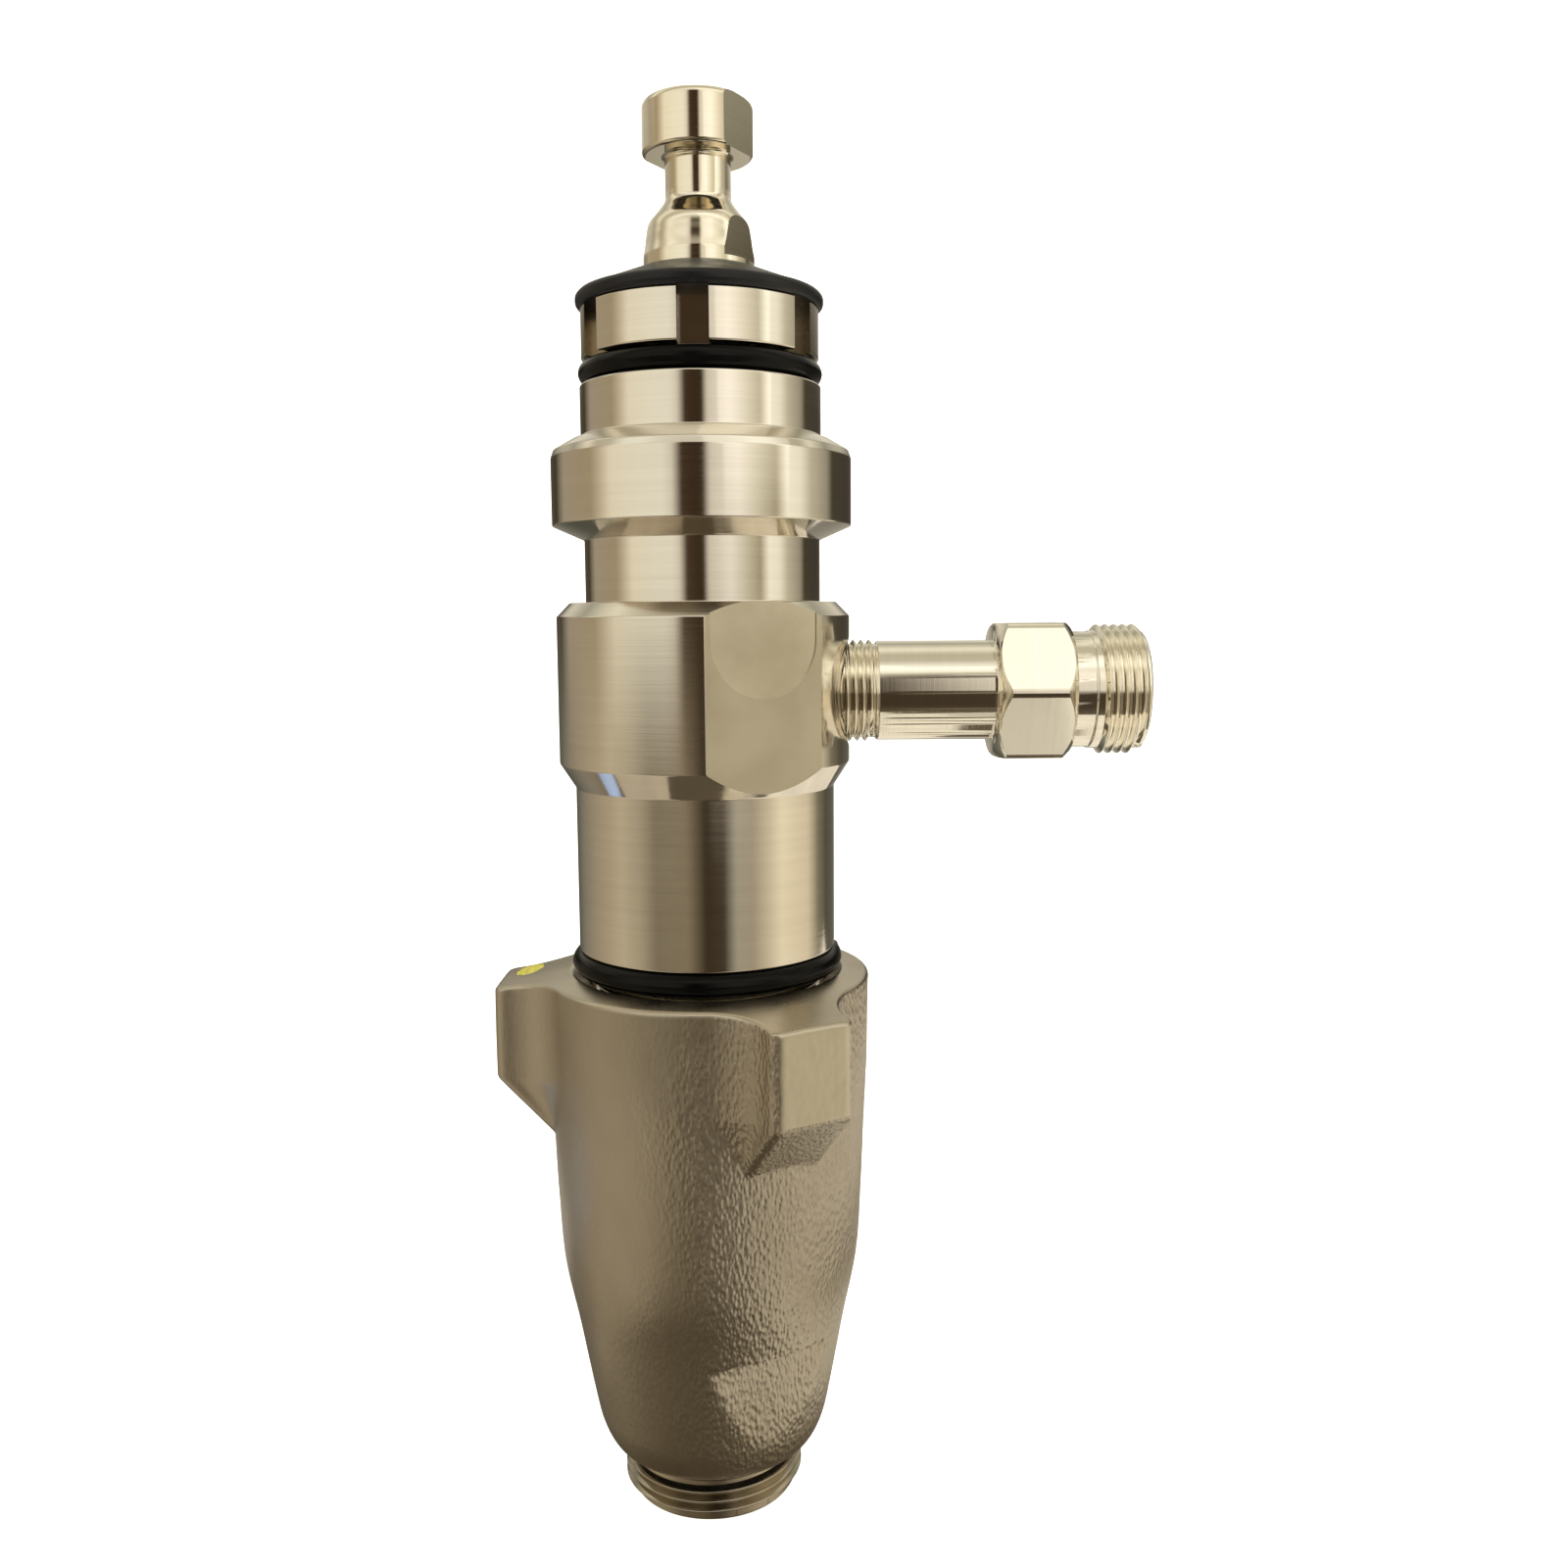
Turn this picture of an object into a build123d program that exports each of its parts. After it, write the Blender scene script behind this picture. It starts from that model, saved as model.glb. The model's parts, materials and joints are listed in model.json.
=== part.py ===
"""Displacement pump of an airless paint sprayer, as an assembly of separate pieces.

The origin is the centre of the intake nipple's lower end. +Z runs up the pump's axis, towards the rod's
T-shaped head, and +X points along the outlet nipple. All sizes are in millimetres. Azimuths are degrees from
+X towards +Y. The rod is at the bottom of its stroke, and both balls are on their seats.

Threads are rings of the true pitch and depth, not helices, so a nut turns among them without cutting in.
"""

import os

from build123d import *

# Heights along the pump's axis, from the bottom up.
SEAT_BOTTOM = 22.0
SEAT_TOP = 29.0
GUIDE_FLANGE_BOTTOM = 54.0
GUIDE_TOP = 58.0
PISTON_BOTTOM = 61.0
SLEEVE_COLLAR_BOTTOM = 90.0
SPIGOT_BOTTOM = 95.0
HOUSING_TOP = 113.3
LOWER_CYLINDER_BOTTOM = 118.0
BLOCK_CHAMFER_BOTTOM = 151.7
ANNULUS_BOTTOM = 150.0
OUTLET_HEIGHT = 170.8
BLOCK_TOP = 188.9
THROAT_FLOOR = 190.0
FLANGE_UNDERSIDE = 201.3
FLANGE_TOP = 221.5
COLLAR_TOP = 231.6
NUT_HEAD_BOTTOM = 236.4
NUT_HEAD_TOP = 246.4
CAP_TOP = 253.8
ROD_TOP = 285.8

# Radii of the pieces that fit one in another.
ROD_RADIUS = 11.0
THROAT_RADIUS = 17.0
SLEEVE_BORE_RADIUS = 15.55
SLEEVE_RADIUS = 18.7
COLLAR_RADIUS = 24.05
GROOVE_RADIUS = 23.75
FLANGE_RADIUS = 30.1
BLOCK_RADIUS = 29.7
LOWER_CYLINDER_RADIUS = 26.53
RUNNING_GAP = 0.05
ASSEMBLY_GAP = 0.05
RESTING_GAP = 0.1

# Where a thread ring's crest starts and ends, as a share of its pitch.
CREST_START = 0.42
CREST_END = 0.58

# Turned edges: the usual chamfer, and the finer one on the nut and the rod's end.
EDGE_CHAMFER = 0.4
FINE_CHAMFER = 0.3
ROD_CHAMFER = 0.5

# Threads: outer radius, depth and pitch.
INTAKE_THREAD = (19.05, 1.25, 2.117)
SPIGOT_THREAD = (25.0, 0.9, 1.5)
NUT_THREAD = (20.2, 0.9, 1.5)
PORT_THREAD = (10.4, 0.85, 1.6)
HOSE_THREAD = (13.22, 1.15, 1.814)

# Balls, their seats and how far they lift.
INTAKE_BALL_RADIUS = 11.1
INTAKE_SEAT_HOLE_RADIUS = 9.2
INTAKE_BALL_LIFT = 4.5
PISTON_BALL_RADIUS = 6.35
PISTON_SEAT_HOLE_RADIUS = 5.0
PISTON_BALL_LIFT = 3.0
BALL_GAP = 0.12

# Packing stacks.
THROAT_PACKINGS = 5
THROAT_PACKING_THICKNESS = 2.8
THROAT_PEAK = 1.6
PISTON_PACKINGS = 4
PISTON_PACKING_THICKNESS = 3.4
PISTON_PEAK = 2.0

# The pump's wrench flats: distance from the axis, and azimuth of the outward direction.
BLOCK_FLAT_DISTANCE = 27.0
BLOCK_FLAT_AZIMUTH = -62.0
ROD_FLAT_DISTANCE = 9.5
ROD_FLAT_AZIMUTH = -30.0

# Intake housing's hammer lugs.
LUG_COUNT = 3
LUG_AZIMUTH = -60.0
LUG_DISTANCE = 43.5
LUG_WIDTH = 17.6
LUG_CORNER_RADIUS = 2.2

# Packing nut's spanner slots.
SLOT_COUNT = 6
SLOT_WIDTH = 6.0
SLOT_FLOOR_RADIUS = 19.1
NUT_HEAD_RADIUS = 23.6

# Outlet nipple, measured along +X.
OUTLET_START = 17.5
SPOT_FACE = 28.3
OUTLET_THREAD_END = 35.0
OUTLET_TUBE_RADIUS = 10.15
HEXAGON_START = 58.7
HEXAGON_END = 74.2
HEXAGON_ACROSS_FLATS = 27.2
HOSE_THREAD_START = 78.3
OUTLET_END = 89.2
OUTLET_BORE_RADIUS = 5.0
OUTLET_NECK_RADIUS = 11.8
HEXAGON_FACE_RADIUS = 13.3
HEXAGON_CONE_RADIUS = 16.0
HEXAGON_CONE_LENGTH = 1.3
SEALING_CONE_RADIUS = 8.2
SEALING_CONE_LENGTH = 5.0


def thread_rings(outer, depth, pitch, start, end):
    """Points of a thread's rings from start to end: radius first, then the distance along the axis."""
    rings = int((end - start) / pitch)
    points = []
    for ring in range(rings):
        low = start + ring * pitch
        points.append((outer - depth, low))
        points.append((outer, low + CREST_START * pitch))
        points.append((outer, low + CREST_END * pitch))
    points.append((outer - depth, start + rings * pitch))
    return points


def turned(points):
    """A piece turned about the pump's axis from its half section, given as radius and height."""
    with BuildPart() as piece:
        with BuildSketch(Plane.XZ):
            with BuildLine():
                Polyline(*points, close=True)
            make_face()
        revolve(axis=Axis.Z)
    return piece


def ring_seal(center_radius, height, section_radius):
    """An O-ring about the pump's axis."""
    with BuildPart() as piece:
        with BuildSketch(Plane.XZ):
            with Locations((center_radius, height)):
                Circle(section_radius)
        revolve(axis=Axis.Z)
    return piece


def save(piece, name):
    piece.part.label = name
    export_step(piece.part, f"parts/{name}.step")


def resting_height(seat_top, hole_radius, ball_radius):
    """Height of a ball's centre when it rests on the sharp edge of its seat's hole."""
    return seat_top + (ball_radius**2 - hole_radius**2) ** 0.5 + BALL_GAP


# Throat stack: a lower gland, the V-packings and an upper gland that the packing nut presses on.

THROAT_INNER = ROD_RADIUS + RUNNING_GAP
THROAT_OUTER = THROAT_RADIUS - RUNNING_GAP
THROAT_GLAND_EDGE = THROAT_FLOOR + 3.5
THROAT_PITCH = THROAT_PACKING_THICKNESS + ASSEMBLY_GAP
THROAT_STACK_TOP = THROAT_GLAND_EDGE + THROAT_PACKINGS * THROAT_PITCH
THROAT_GLAND_TOP = 214.0


def packing_points(inner, outer, bottom, thickness, peak):
    """Half section of one V-packing, its ridge pointing up."""
    middle = (inner + outer) / 2
    return [
        (inner, bottom),
        (middle, bottom + peak),
        (outer, bottom),
        (outer, bottom + thickness),
        (middle, bottom + peak + thickness),
        (inner, bottom + thickness),
    ]


def lower_gland_points(inner, outer, bottom, edge, peak):
    """Half section of the gland below a stack, with a ridge that enters the first packing."""
    return [
        (inner, bottom),
        (outer, bottom),
        (outer, edge),
        ((inner + outer) / 2, edge + peak),
        (inner, edge),
    ]


def upper_gland_points(inner, outer, edge, top, peak):
    """Half section of the gland above a stack, with a groove that takes the last packing's ridge."""
    return [
        (inner, edge),
        ((inner + outer) / 2, edge + peak),
        (outer, edge),
        (outer, top),
        (inner, top),
    ]


def throat_lower_gland():
    return turned(
        lower_gland_points(THROAT_INNER, THROAT_OUTER, THROAT_FLOOR, THROAT_GLAND_EDGE, THROAT_PEAK)
    )


def throat_packing(number):
    bottom = THROAT_GLAND_EDGE + ASSEMBLY_GAP + number * THROAT_PITCH
    return turned(packing_points(THROAT_INNER, THROAT_OUTER, bottom, THROAT_PACKING_THICKNESS, THROAT_PEAK))


def throat_upper_gland():
    edge = THROAT_STACK_TOP + RESTING_GAP
    return turned(upper_gland_points(THROAT_INNER, THROAT_OUTER, edge, THROAT_GLAND_TOP, THROAT_PEAK))


# Cylinder: collar, flange, clamping groove, block with the outlet port, lower cylinder and threaded spigot.

NUT_THREAD_BORE_BOTTOM = 216.8
SPIGOT_THREAD_TOP = 110.5
SPIGOT_NECK_RADIUS = 23.3
SLEEVE_SEAT_RADIUS = SLEEVE_RADIUS + ASSEMBLY_GAP
ANNULUS_RADIUS = 16.5
THROAT_PLATE_BOTTOM = 184.0
PORT_HOLE_RADIUS = 6.0
CUTTER_MARK_HEIGHT = 181.7
CUTTER_MARK_RADIUS = 11.2
CUTTER_MARK_DEPTH = 0.12


BLOCK_LOWER_CHAMFER = 5.0
BLOCK_UPPER_CHAMFER = 2.8
BLOCK_TOP_EDGE_RADIUS = 27.0
FLANGE_LOWER_CHAMFER = 2.8
FLANGE_SHOULDER_DROP = 4.3
FLANGE_SHOULDER_RADIUS = 29.6
FLANGE_CROWN_DROP = 0.7
FLANGE_CROWN_RADIUS = 26.0
SPIGOT_THREAD_START = 0.5
SPIGOT_RUN_OUT = 0.6
THREAD_LEAD_IN = 0.6
THROAT_PLATE_RADIUS = ROD_RADIUS + 1.0
SPOT_FACE_RADIUS = 11.4
RING_GROOVE_HALF_WIDTH = 1.3


def cylinder_outline():
    """Outer half section of the cylinder, from the spigot's lower end to the collar's top."""
    outer, depth, pitch = SPIGOT_THREAD
    points = [(outer - depth - EDGE_CHAMFER, SPIGOT_BOTTOM)]
    points += thread_rings(outer, depth, pitch, SPIGOT_BOTTOM + SPIGOT_THREAD_START, SPIGOT_THREAD_TOP)
    points += [
        (SPIGOT_NECK_RADIUS, SPIGOT_THREAD_TOP + SPIGOT_RUN_OUT),
        (SPIGOT_NECK_RADIUS, LOWER_CYLINDER_BOTTOM),
        (LOWER_CYLINDER_RADIUS - EDGE_CHAMFER, LOWER_CYLINDER_BOTTOM),
        (LOWER_CYLINDER_RADIUS, LOWER_CYLINDER_BOTTOM + EDGE_CHAMFER),
        (LOWER_CYLINDER_RADIUS, BLOCK_CHAMFER_BOTTOM),
        (BLOCK_RADIUS, BLOCK_CHAMFER_BOTTOM + BLOCK_LOWER_CHAMFER),
        (BLOCK_RADIUS, BLOCK_TOP - BLOCK_UPPER_CHAMFER),
        (BLOCK_TOP_EDGE_RADIUS, BLOCK_TOP),
        (GROOVE_RADIUS, BLOCK_TOP),
        (GROOVE_RADIUS, FLANGE_UNDERSIDE),
        (FLANGE_RADIUS, FLANGE_UNDERSIDE + FLANGE_LOWER_CHAMFER),
        (FLANGE_RADIUS, FLANGE_TOP - FLANGE_SHOULDER_DROP),
        (FLANGE_SHOULDER_RADIUS, FLANGE_TOP - FLANGE_LOWER_CHAMFER),
        (FLANGE_CROWN_RADIUS, FLANGE_TOP - FLANGE_CROWN_DROP),
        (COLLAR_RADIUS, FLANGE_TOP),
        (COLLAR_RADIUS, COLLAR_TOP - EDGE_CHAMFER),
        (COLLAR_RADIUS - EDGE_CHAMFER, COLLAR_TOP),
    ]
    return points


def cylinder_bore():
    """Inner half section of the cylinder, from the collar's top down to the spigot's lower end."""
    thread_bore = NUT_THREAD[0] + ASSEMBLY_GAP
    return [
        (thread_bore + THREAD_LEAD_IN, COLLAR_TOP),
        (thread_bore, COLLAR_TOP - THREAD_LEAD_IN),
        (thread_bore, NUT_THREAD_BORE_BOTTOM),
        (THROAT_RADIUS, NUT_THREAD_BORE_BOTTOM),
        (THROAT_RADIUS, THROAT_FLOOR),
        (THROAT_PLATE_RADIUS, THROAT_FLOOR),
        (THROAT_PLATE_RADIUS, THROAT_PLATE_BOTTOM),
        (ANNULUS_RADIUS, THROAT_PLATE_BOTTOM),
        (ANNULUS_RADIUS, ANNULUS_BOTTOM),
        (SLEEVE_SEAT_RADIUS, ANNULUS_BOTTOM),
        (SLEEVE_SEAT_RADIUS, SPIGOT_BOTTOM),
    ]


def pump_cylinder():
    flat_plane = Plane.XY.rotated((0, 0, BLOCK_FLAT_AZIMUTH))
    flat_height = BLOCK_TOP - BLOCK_CHAMFER_BOTTOM
    mark_center = Vector(BLOCK_FLAT_DISTANCE, 0, CUTTER_MARK_HEIGHT).rotate(Axis.Z, BLOCK_FLAT_AZIMUTH)
    mark_plane = Plane(
        origin=mark_center,
        x_dir=Vector(0, 1, 0).rotate(Axis.Z, BLOCK_FLAT_AZIMUTH),
        z_dir=Vector(1, 0, 0).rotate(Axis.Z, BLOCK_FLAT_AZIMUTH),
    )
    with BuildPart() as piece:
        with BuildSketch(Plane.XZ):
            with BuildLine():
                Polyline(*cylinder_outline(), *cylinder_bore(), close=True)
            make_face()
        revolve(axis=Axis.Z)

        # Two parallel wrench flats across the block and both of its chamfers.
        with BuildSketch(flat_plane.offset(BLOCK_CHAMFER_BOTTOM - 0.5)):
            for side in (1, -1):
                with Locations((side * (BLOCK_FLAT_DISTANCE + 5), 0)):
                    Rectangle(10, 2 * BLOCK_RADIUS)
        extrude(amount=flat_height + 1.0, mode=Mode.SUBTRACT)

        # A shallow round mark, left by the end mill near the flat's upper end.
        with BuildSketch(mark_plane):
            Circle(CUTTER_MARK_RADIUS)
            with Locations((0, CUTTER_MARK_RADIUS)):
                Rectangle(3 * CUTTER_MARK_RADIUS, 2 * CUTTER_MARK_RADIUS)
        extrude(amount=-CUTTER_MARK_DEPTH, mode=Mode.SUBTRACT)

        # Outlet port: spot face, thread bore and the hole into the annulus round the rod.
        with BuildSketch(Plane.YZ.offset(SPOT_FACE)):
            with Locations((0, OUTLET_HEIGHT)):
                Circle(SPOT_FACE_RADIUS)
        extrude(amount=5, mode=Mode.SUBTRACT)
        with BuildSketch(Plane.YZ.offset(OUTLET_START - ASSEMBLY_GAP)):
            with Locations((0, OUTLET_HEIGHT)):
                Circle(PORT_THREAD[0] + ASSEMBLY_GAP)
        extrude(amount=20, mode=Mode.SUBTRACT)
        with BuildSketch(Plane.YZ.offset(ROD_RADIUS)):
            with Locations((0, OUTLET_HEIGHT)):
                Circle(PORT_HOLE_RADIUS)
        extrude(amount=10, mode=Mode.SUBTRACT)
    return piece


# Sleeve that the piston runs in, held by its collar between the spigot and the housing.

SLEEVE_COLLAR_RADIUS = 21.5
SLEEVE_RING_HEIGHT = 145.0
SLEEVE_RING_SECTION = 1.0


def cylinder_sleeve():
    groove_radius = SLEEVE_SEAT_RADIUS - 2 * SLEEVE_RING_SECTION
    groove_half_width = RING_GROOVE_HALF_WIDTH
    return turned(
        [
            (SLEEVE_BORE_RADIUS, GUIDE_TOP),
            (SLEEVE_RADIUS, GUIDE_TOP),
            (SLEEVE_RADIUS, SLEEVE_COLLAR_BOTTOM),
            (SLEEVE_COLLAR_RADIUS, SLEEVE_COLLAR_BOTTOM),
            (SLEEVE_COLLAR_RADIUS, SPIGOT_BOTTOM),
            (SLEEVE_RADIUS, SPIGOT_BOTTOM),
            (SLEEVE_RADIUS, SLEEVE_RING_HEIGHT - groove_half_width),
            (groove_radius, SLEEVE_RING_HEIGHT - groove_half_width),
            (groove_radius, SLEEVE_RING_HEIGHT + groove_half_width),
            (SLEEVE_RADIUS, SLEEVE_RING_HEIGHT + groove_half_width),
            (SLEEVE_RADIUS, ANNULUS_BOTTOM - ASSEMBLY_GAP),
            (SLEEVE_BORE_RADIUS, ANNULUS_BOTTOM - ASSEMBLY_GAP),
        ]
    )


def sleeve_o_ring():
    return ring_seal(SLEEVE_SEAT_RADIUS - SLEEVE_RING_SECTION, SLEEVE_RING_HEIGHT, SLEEVE_RING_SECTION)


# Intake housing: a casting with three hammer lugs, ending in the threaded intake nipple.

HOUSING_EDGE_RADIUS = 33.6
HOUSING_TOP_SLOPE = 0.158
HOUSING_OPENING_RADIUS = 28.0
LUG_FACE_BOTTOM = 91.8
LUG_ROOT_BOTTOM = 77.5
LUG_INNER_RADIUS = 30.0
LUG_ROOT_RADIUS = 31.8
LUG_FILLET_RADIUS = 7.0
LUG_DROP = 0.05
HOUSING_FLAT_DISTANCE = 24.9
HOUSING_FLAT_BOTTOM = 14.0
HOUSING_FLAT_TOP = 39.0
INLET_RADIUS = 13.0
SEAT_BORE_RADIUS = 17.1
CHAMBER_RADIUS = 20.2


def housing_top(radius):
    """Height of the housing's sloping top face at a radius."""
    return HOUSING_TOP - (radius - HOUSING_OPENING_RADIUS) * HOUSING_TOP_SLOPE


def on_lug_root(point):
    """Whether a point of the lugs' plan lies on the circle that they grow from."""
    return abs((point.X**2 + point.Y**2) ** 0.5 - LUG_ROOT_RADIUS) < 0.1


NIPPLE_SHOULDER = 10.2
NIPPLE_RELIEF_TOP = 10.1
RIM_CHAMFER = 0.7
OPENING_CHAMFER = 1.6
LUG_SLOPE_FOOT = LUG_ROOT_BOTTOM - 1.3
LUG_SLOPE_RADIUS = 31.4
LUG_CUTTER_RADIUS = LUG_DISTANCE + 3.0
HOUSING_RING_RADIUS = 25.65
HOUSING_RING_SECTION = 2.35


def intake_housing():
    outer, depth, pitch = INTAKE_THREAD
    spigot_bore = SPIGOT_THREAD[0] + ASSEMBLY_GAP
    collar_bore = SLEEVE_COLLAR_RADIUS + ASSEMBLY_GAP
    thread = thread_rings(outer, depth, pitch, EDGE_CHAMFER, NIPPLE_RELIEF_TOP)
    with BuildPart() as piece:
        # Lugs: a ring of their section, cut down to three radial bars with wide fillets at their roots.
        with BuildSketch(Plane.XZ):
            with BuildLine():
                Polyline(
                    (LUG_INNER_RADIUS, LUG_SLOPE_FOOT),
                    (LUG_SLOPE_RADIUS, LUG_SLOPE_FOOT),
                    (LUG_DISTANCE, LUG_FACE_BOTTOM),
                    (LUG_CUTTER_RADIUS, LUG_FACE_BOTTOM),
                    (LUG_CUTTER_RADIUS, housing_top(LUG_CUTTER_RADIUS) - LUG_DROP),
                    (LUG_INNER_RADIUS, housing_top(LUG_INNER_RADIUS) - LUG_DROP),
                    close=True,
                )
            make_face()
        revolve(axis=Axis.Z)
        with BuildSketch(Plane.XY.offset(LUG_ROOT_BOTTOM - 5)) as lug_plan:
            Circle(LUG_ROOT_RADIUS)
            with PolarLocations(0, LUG_COUNT, start_angle=LUG_AZIMUTH):
                with Locations((LUG_DISTANCE / 2, 0)):
                    RectangleRounded(LUG_DISTANCE, LUG_WIDTH, LUG_CORNER_RADIUS)
            corners = lug_plan.vertices().filter_by(on_lug_root)
            fillet(corners, radius=LUG_FILLET_RADIUS)
        extrude(amount=HOUSING_TOP, mode=Mode.INTERSECT)

        # Cast body, narrowing in a soft curve to the nipple.
        with BuildSketch(Plane.XZ):
            with BuildLine():
                rim = Polyline(
                    (0, HOUSING_TOP),
                    (HOUSING_OPENING_RADIUS, HOUSING_TOP),
                    (HOUSING_EDGE_RADIUS - RIM_CHAMFER, housing_top(HOUSING_EDGE_RADIUS - RIM_CHAMFER)),
                    (HOUSING_EDGE_RADIUS, housing_top(HOUSING_EDGE_RADIUS) - RIM_CHAMFER),
                    (32.1, 66.0),
                )
                waist = Spline(
                    rim @ 1,
                    (31.1, 52.0),
                    (28.5, 38.7),
                    (25.6, 23.0),
                    (24.2, 16.5),
                    tangents=[(-0.03, -1), (-0.12, -1)],
                )
                foot = Spline(
                    waist @ 1,
                    (22.2, 12.1),
                    (19.6, NIPPLE_SHOULDER),
                    tangents=[(-0.12, -1), (-1, -0.45)],
                )
                Polyline(
                    foot @ 1,
                    (outer - depth, NIPPLE_SHOULDER),
                    *reversed(thread),
                    (outer - depth - EDGE_CHAMFER, 0),
                    (0, 0),
                    (0, HOUSING_TOP),
                )
            make_face()
        revolve(axis=Axis.Z)

        # Two parallel wrench flats low on the cast body, under the first lug and opposite it.
        with BuildSketch(Plane.XY.rotated((0, 0, LUG_AZIMUTH)).offset(HOUSING_FLAT_BOTTOM)):
            for side in (1, -1):
                with Locations((side * (HOUSING_FLAT_DISTANCE + 5), 0)):
                    Rectangle(10, 2 * HOUSING_EDGE_RADIUS)
        extrude(amount=HOUSING_FLAT_TOP - HOUSING_FLAT_BOTTOM, mode=Mode.SUBTRACT)

        # Bores, from the spigot's thread down to the inlet.
        with BuildSketch(Plane.XZ):
            with BuildLine():
                Polyline(
                    (0, HOUSING_TOP + 1),
                    (HOUSING_OPENING_RADIUS, HOUSING_TOP + 1),
                    (HOUSING_OPENING_RADIUS, HOUSING_TOP),
                    (spigot_bore, HOUSING_TOP - OPENING_CHAMFER),
                    (spigot_bore, SPIGOT_BOTTOM),
                    (collar_bore, SPIGOT_BOTTOM),
                    (collar_bore, SLEEVE_COLLAR_BOTTOM),
                    (CHAMBER_RADIUS, SLEEVE_COLLAR_BOTTOM),
                    (CHAMBER_RADIUS, GUIDE_FLANGE_BOTTOM),
                    (SEAT_BORE_RADIUS, GUIDE_FLANGE_BOTTOM),
                    (SEAT_BORE_RADIUS, SEAT_BOTTOM),
                    (INLET_RADIUS, SEAT_BOTTOM),
                    (INLET_RADIUS, -1),
                    (0, -1),
                    close=True,
                )
            make_face()
        revolve(axis=Axis.Z, mode=Mode.SUBTRACT)
    return piece


def housing_o_ring():
    return ring_seal(HOUSING_RING_RADIUS, LOWER_CYLINDER_BOTTOM - HOUSING_RING_SECTION, HOUSING_RING_SECTION)


# Intake valve: seat, ball and the guide that keeps the ball over the seat.

SEAT_RING_SECTION = 1.0
GUIDE_RADIUS = 17.0
GUIDE_BORE_RADIUS = 14.5
GUIDE_RIB_RADIUS = 11.5
GUIDE_RIB_COUNT = 4
GUIDE_RIB_WIDTH = 4.0
INTAKE_BALL_HEIGHT = resting_height(SEAT_TOP, INTAKE_SEAT_HOLE_RADIUS, INTAKE_BALL_RADIUS)
BALL_STOP_HEIGHT = INTAKE_BALL_HEIGHT + INTAKE_BALL_RADIUS + INTAKE_BALL_LIFT + 2 * BALL_GAP


def intake_seat():
    middle = (SEAT_BOTTOM + SEAT_TOP) / 2
    groove_radius = SEAT_BORE_RADIUS - 2 * SEAT_RING_SECTION
    return turned(
        [
            (INTAKE_SEAT_HOLE_RADIUS, SEAT_BOTTOM),
            (GUIDE_RADIUS, SEAT_BOTTOM),
            (GUIDE_RADIUS, middle - RING_GROOVE_HALF_WIDTH),
            (groove_radius, middle - RING_GROOVE_HALF_WIDTH),
            (groove_radius, middle + RING_GROOVE_HALF_WIDTH),
            (GUIDE_RADIUS, middle + RING_GROOVE_HALF_WIDTH),
            (GUIDE_RADIUS, SEAT_TOP),
            (INTAKE_SEAT_HOLE_RADIUS, SEAT_TOP),
        ]
    )


def intake_seat_o_ring():
    return ring_seal(SEAT_BORE_RADIUS - SEAT_RING_SECTION, (SEAT_BOTTOM + SEAT_TOP) / 2, SEAT_RING_SECTION)


def ball(radius, height):
    with BuildPart() as piece:
        with Locations((0, 0, height)):
            Sphere(radius)
    return piece


GUIDE_CROWN = 1.0


def ball_guide():
    with BuildPart() as piece:
        with BuildSketch(Plane.XY.offset(SEAT_TOP)):
            Circle(GUIDE_RADIUS)
            Circle(GUIDE_BORE_RADIUS, mode=Mode.SUBTRACT)
            with PolarLocations(0, GUIDE_RIB_COUNT):
                with Locations(((GUIDE_RIB_RADIUS + GUIDE_BORE_RADIUS + 1) / 2, 0)):
                    Rectangle(GUIDE_BORE_RADIUS + 1 - GUIDE_RIB_RADIUS, GUIDE_RIB_WIDTH)
        extrude(amount=GUIDE_TOP - SEAT_TOP)
        with BuildSketch(Plane.XY.offset(GUIDE_FLANGE_BOTTOM)):
            Circle(SLEEVE_RADIUS)
            Circle(GUIDE_BORE_RADIUS + 1, mode=Mode.SUBTRACT)
        extrude(amount=GUIDE_TOP - GUIDE_FLANGE_BOTTOM)
        # Crossed bars that stop the ball.
        with BuildSketch(Plane.XY.offset(BALL_STOP_HEIGHT)):
            Rectangle(2 * GUIDE_BORE_RADIUS + 1, GUIDE_RIB_WIDTH)
            Rectangle(GUIDE_RIB_WIDTH, 2 * GUIDE_BORE_RADIUS + 1)
        extrude(amount=GUIDE_TOP - GUIDE_CROWN - BALL_STOP_HEIGHT)
    return piece


# Piston: a hollow valve body screwed into the rod, carrying the packings, with its own seat and ball.

PISTON_FLANGE_TOP = 70.0
PISTON_GLAND_EDGE = 74.5
PISTON_PITCH = PISTON_PACKING_THICKNESS + ASSEMBLY_GAP
PISTON_STACK_TOP = PISTON_GLAND_EDGE + PISTON_PACKINGS * PISTON_PITCH
ROD_BOTTOM = 96.0
PISTON_STEM_RADIUS = 8.8
PISTON_HEXAGON = 24.0
PISTON_HEXAGON_TOP = PISTON_BOTTOM + 4.5
PISTON_FLANGE_RADIUS = 14.6
SOCKET_THROAT = 3.0
SOCKET_TIP = 6.0
PISTON_STEM_TOP = 102.0
PISTON_SEAT_TOP = 105.0
PISTON_PASSAGE_RADIUS = 4.6
ROD_SOCKET_RADIUS = 8.0
BALL_CHAMBER_RADIUS = 7.6
ROD_PORT_HEIGHT = 112.0
ROD_PORT_RADIUS = 3.2
PISTON_BALL_HEIGHT = resting_height(PISTON_SEAT_TOP, PISTON_SEAT_HOLE_RADIUS, PISTON_BALL_RADIUS)
BALL_STOP_DISTANCE = resting_height(0, PISTON_SEAT_HOLE_RADIUS, PISTON_BALL_RADIUS)
BALL_CHAMBER_TOP = PISTON_BALL_HEIGHT + PISTON_BALL_LIFT + BALL_STOP_DISTANCE
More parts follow.
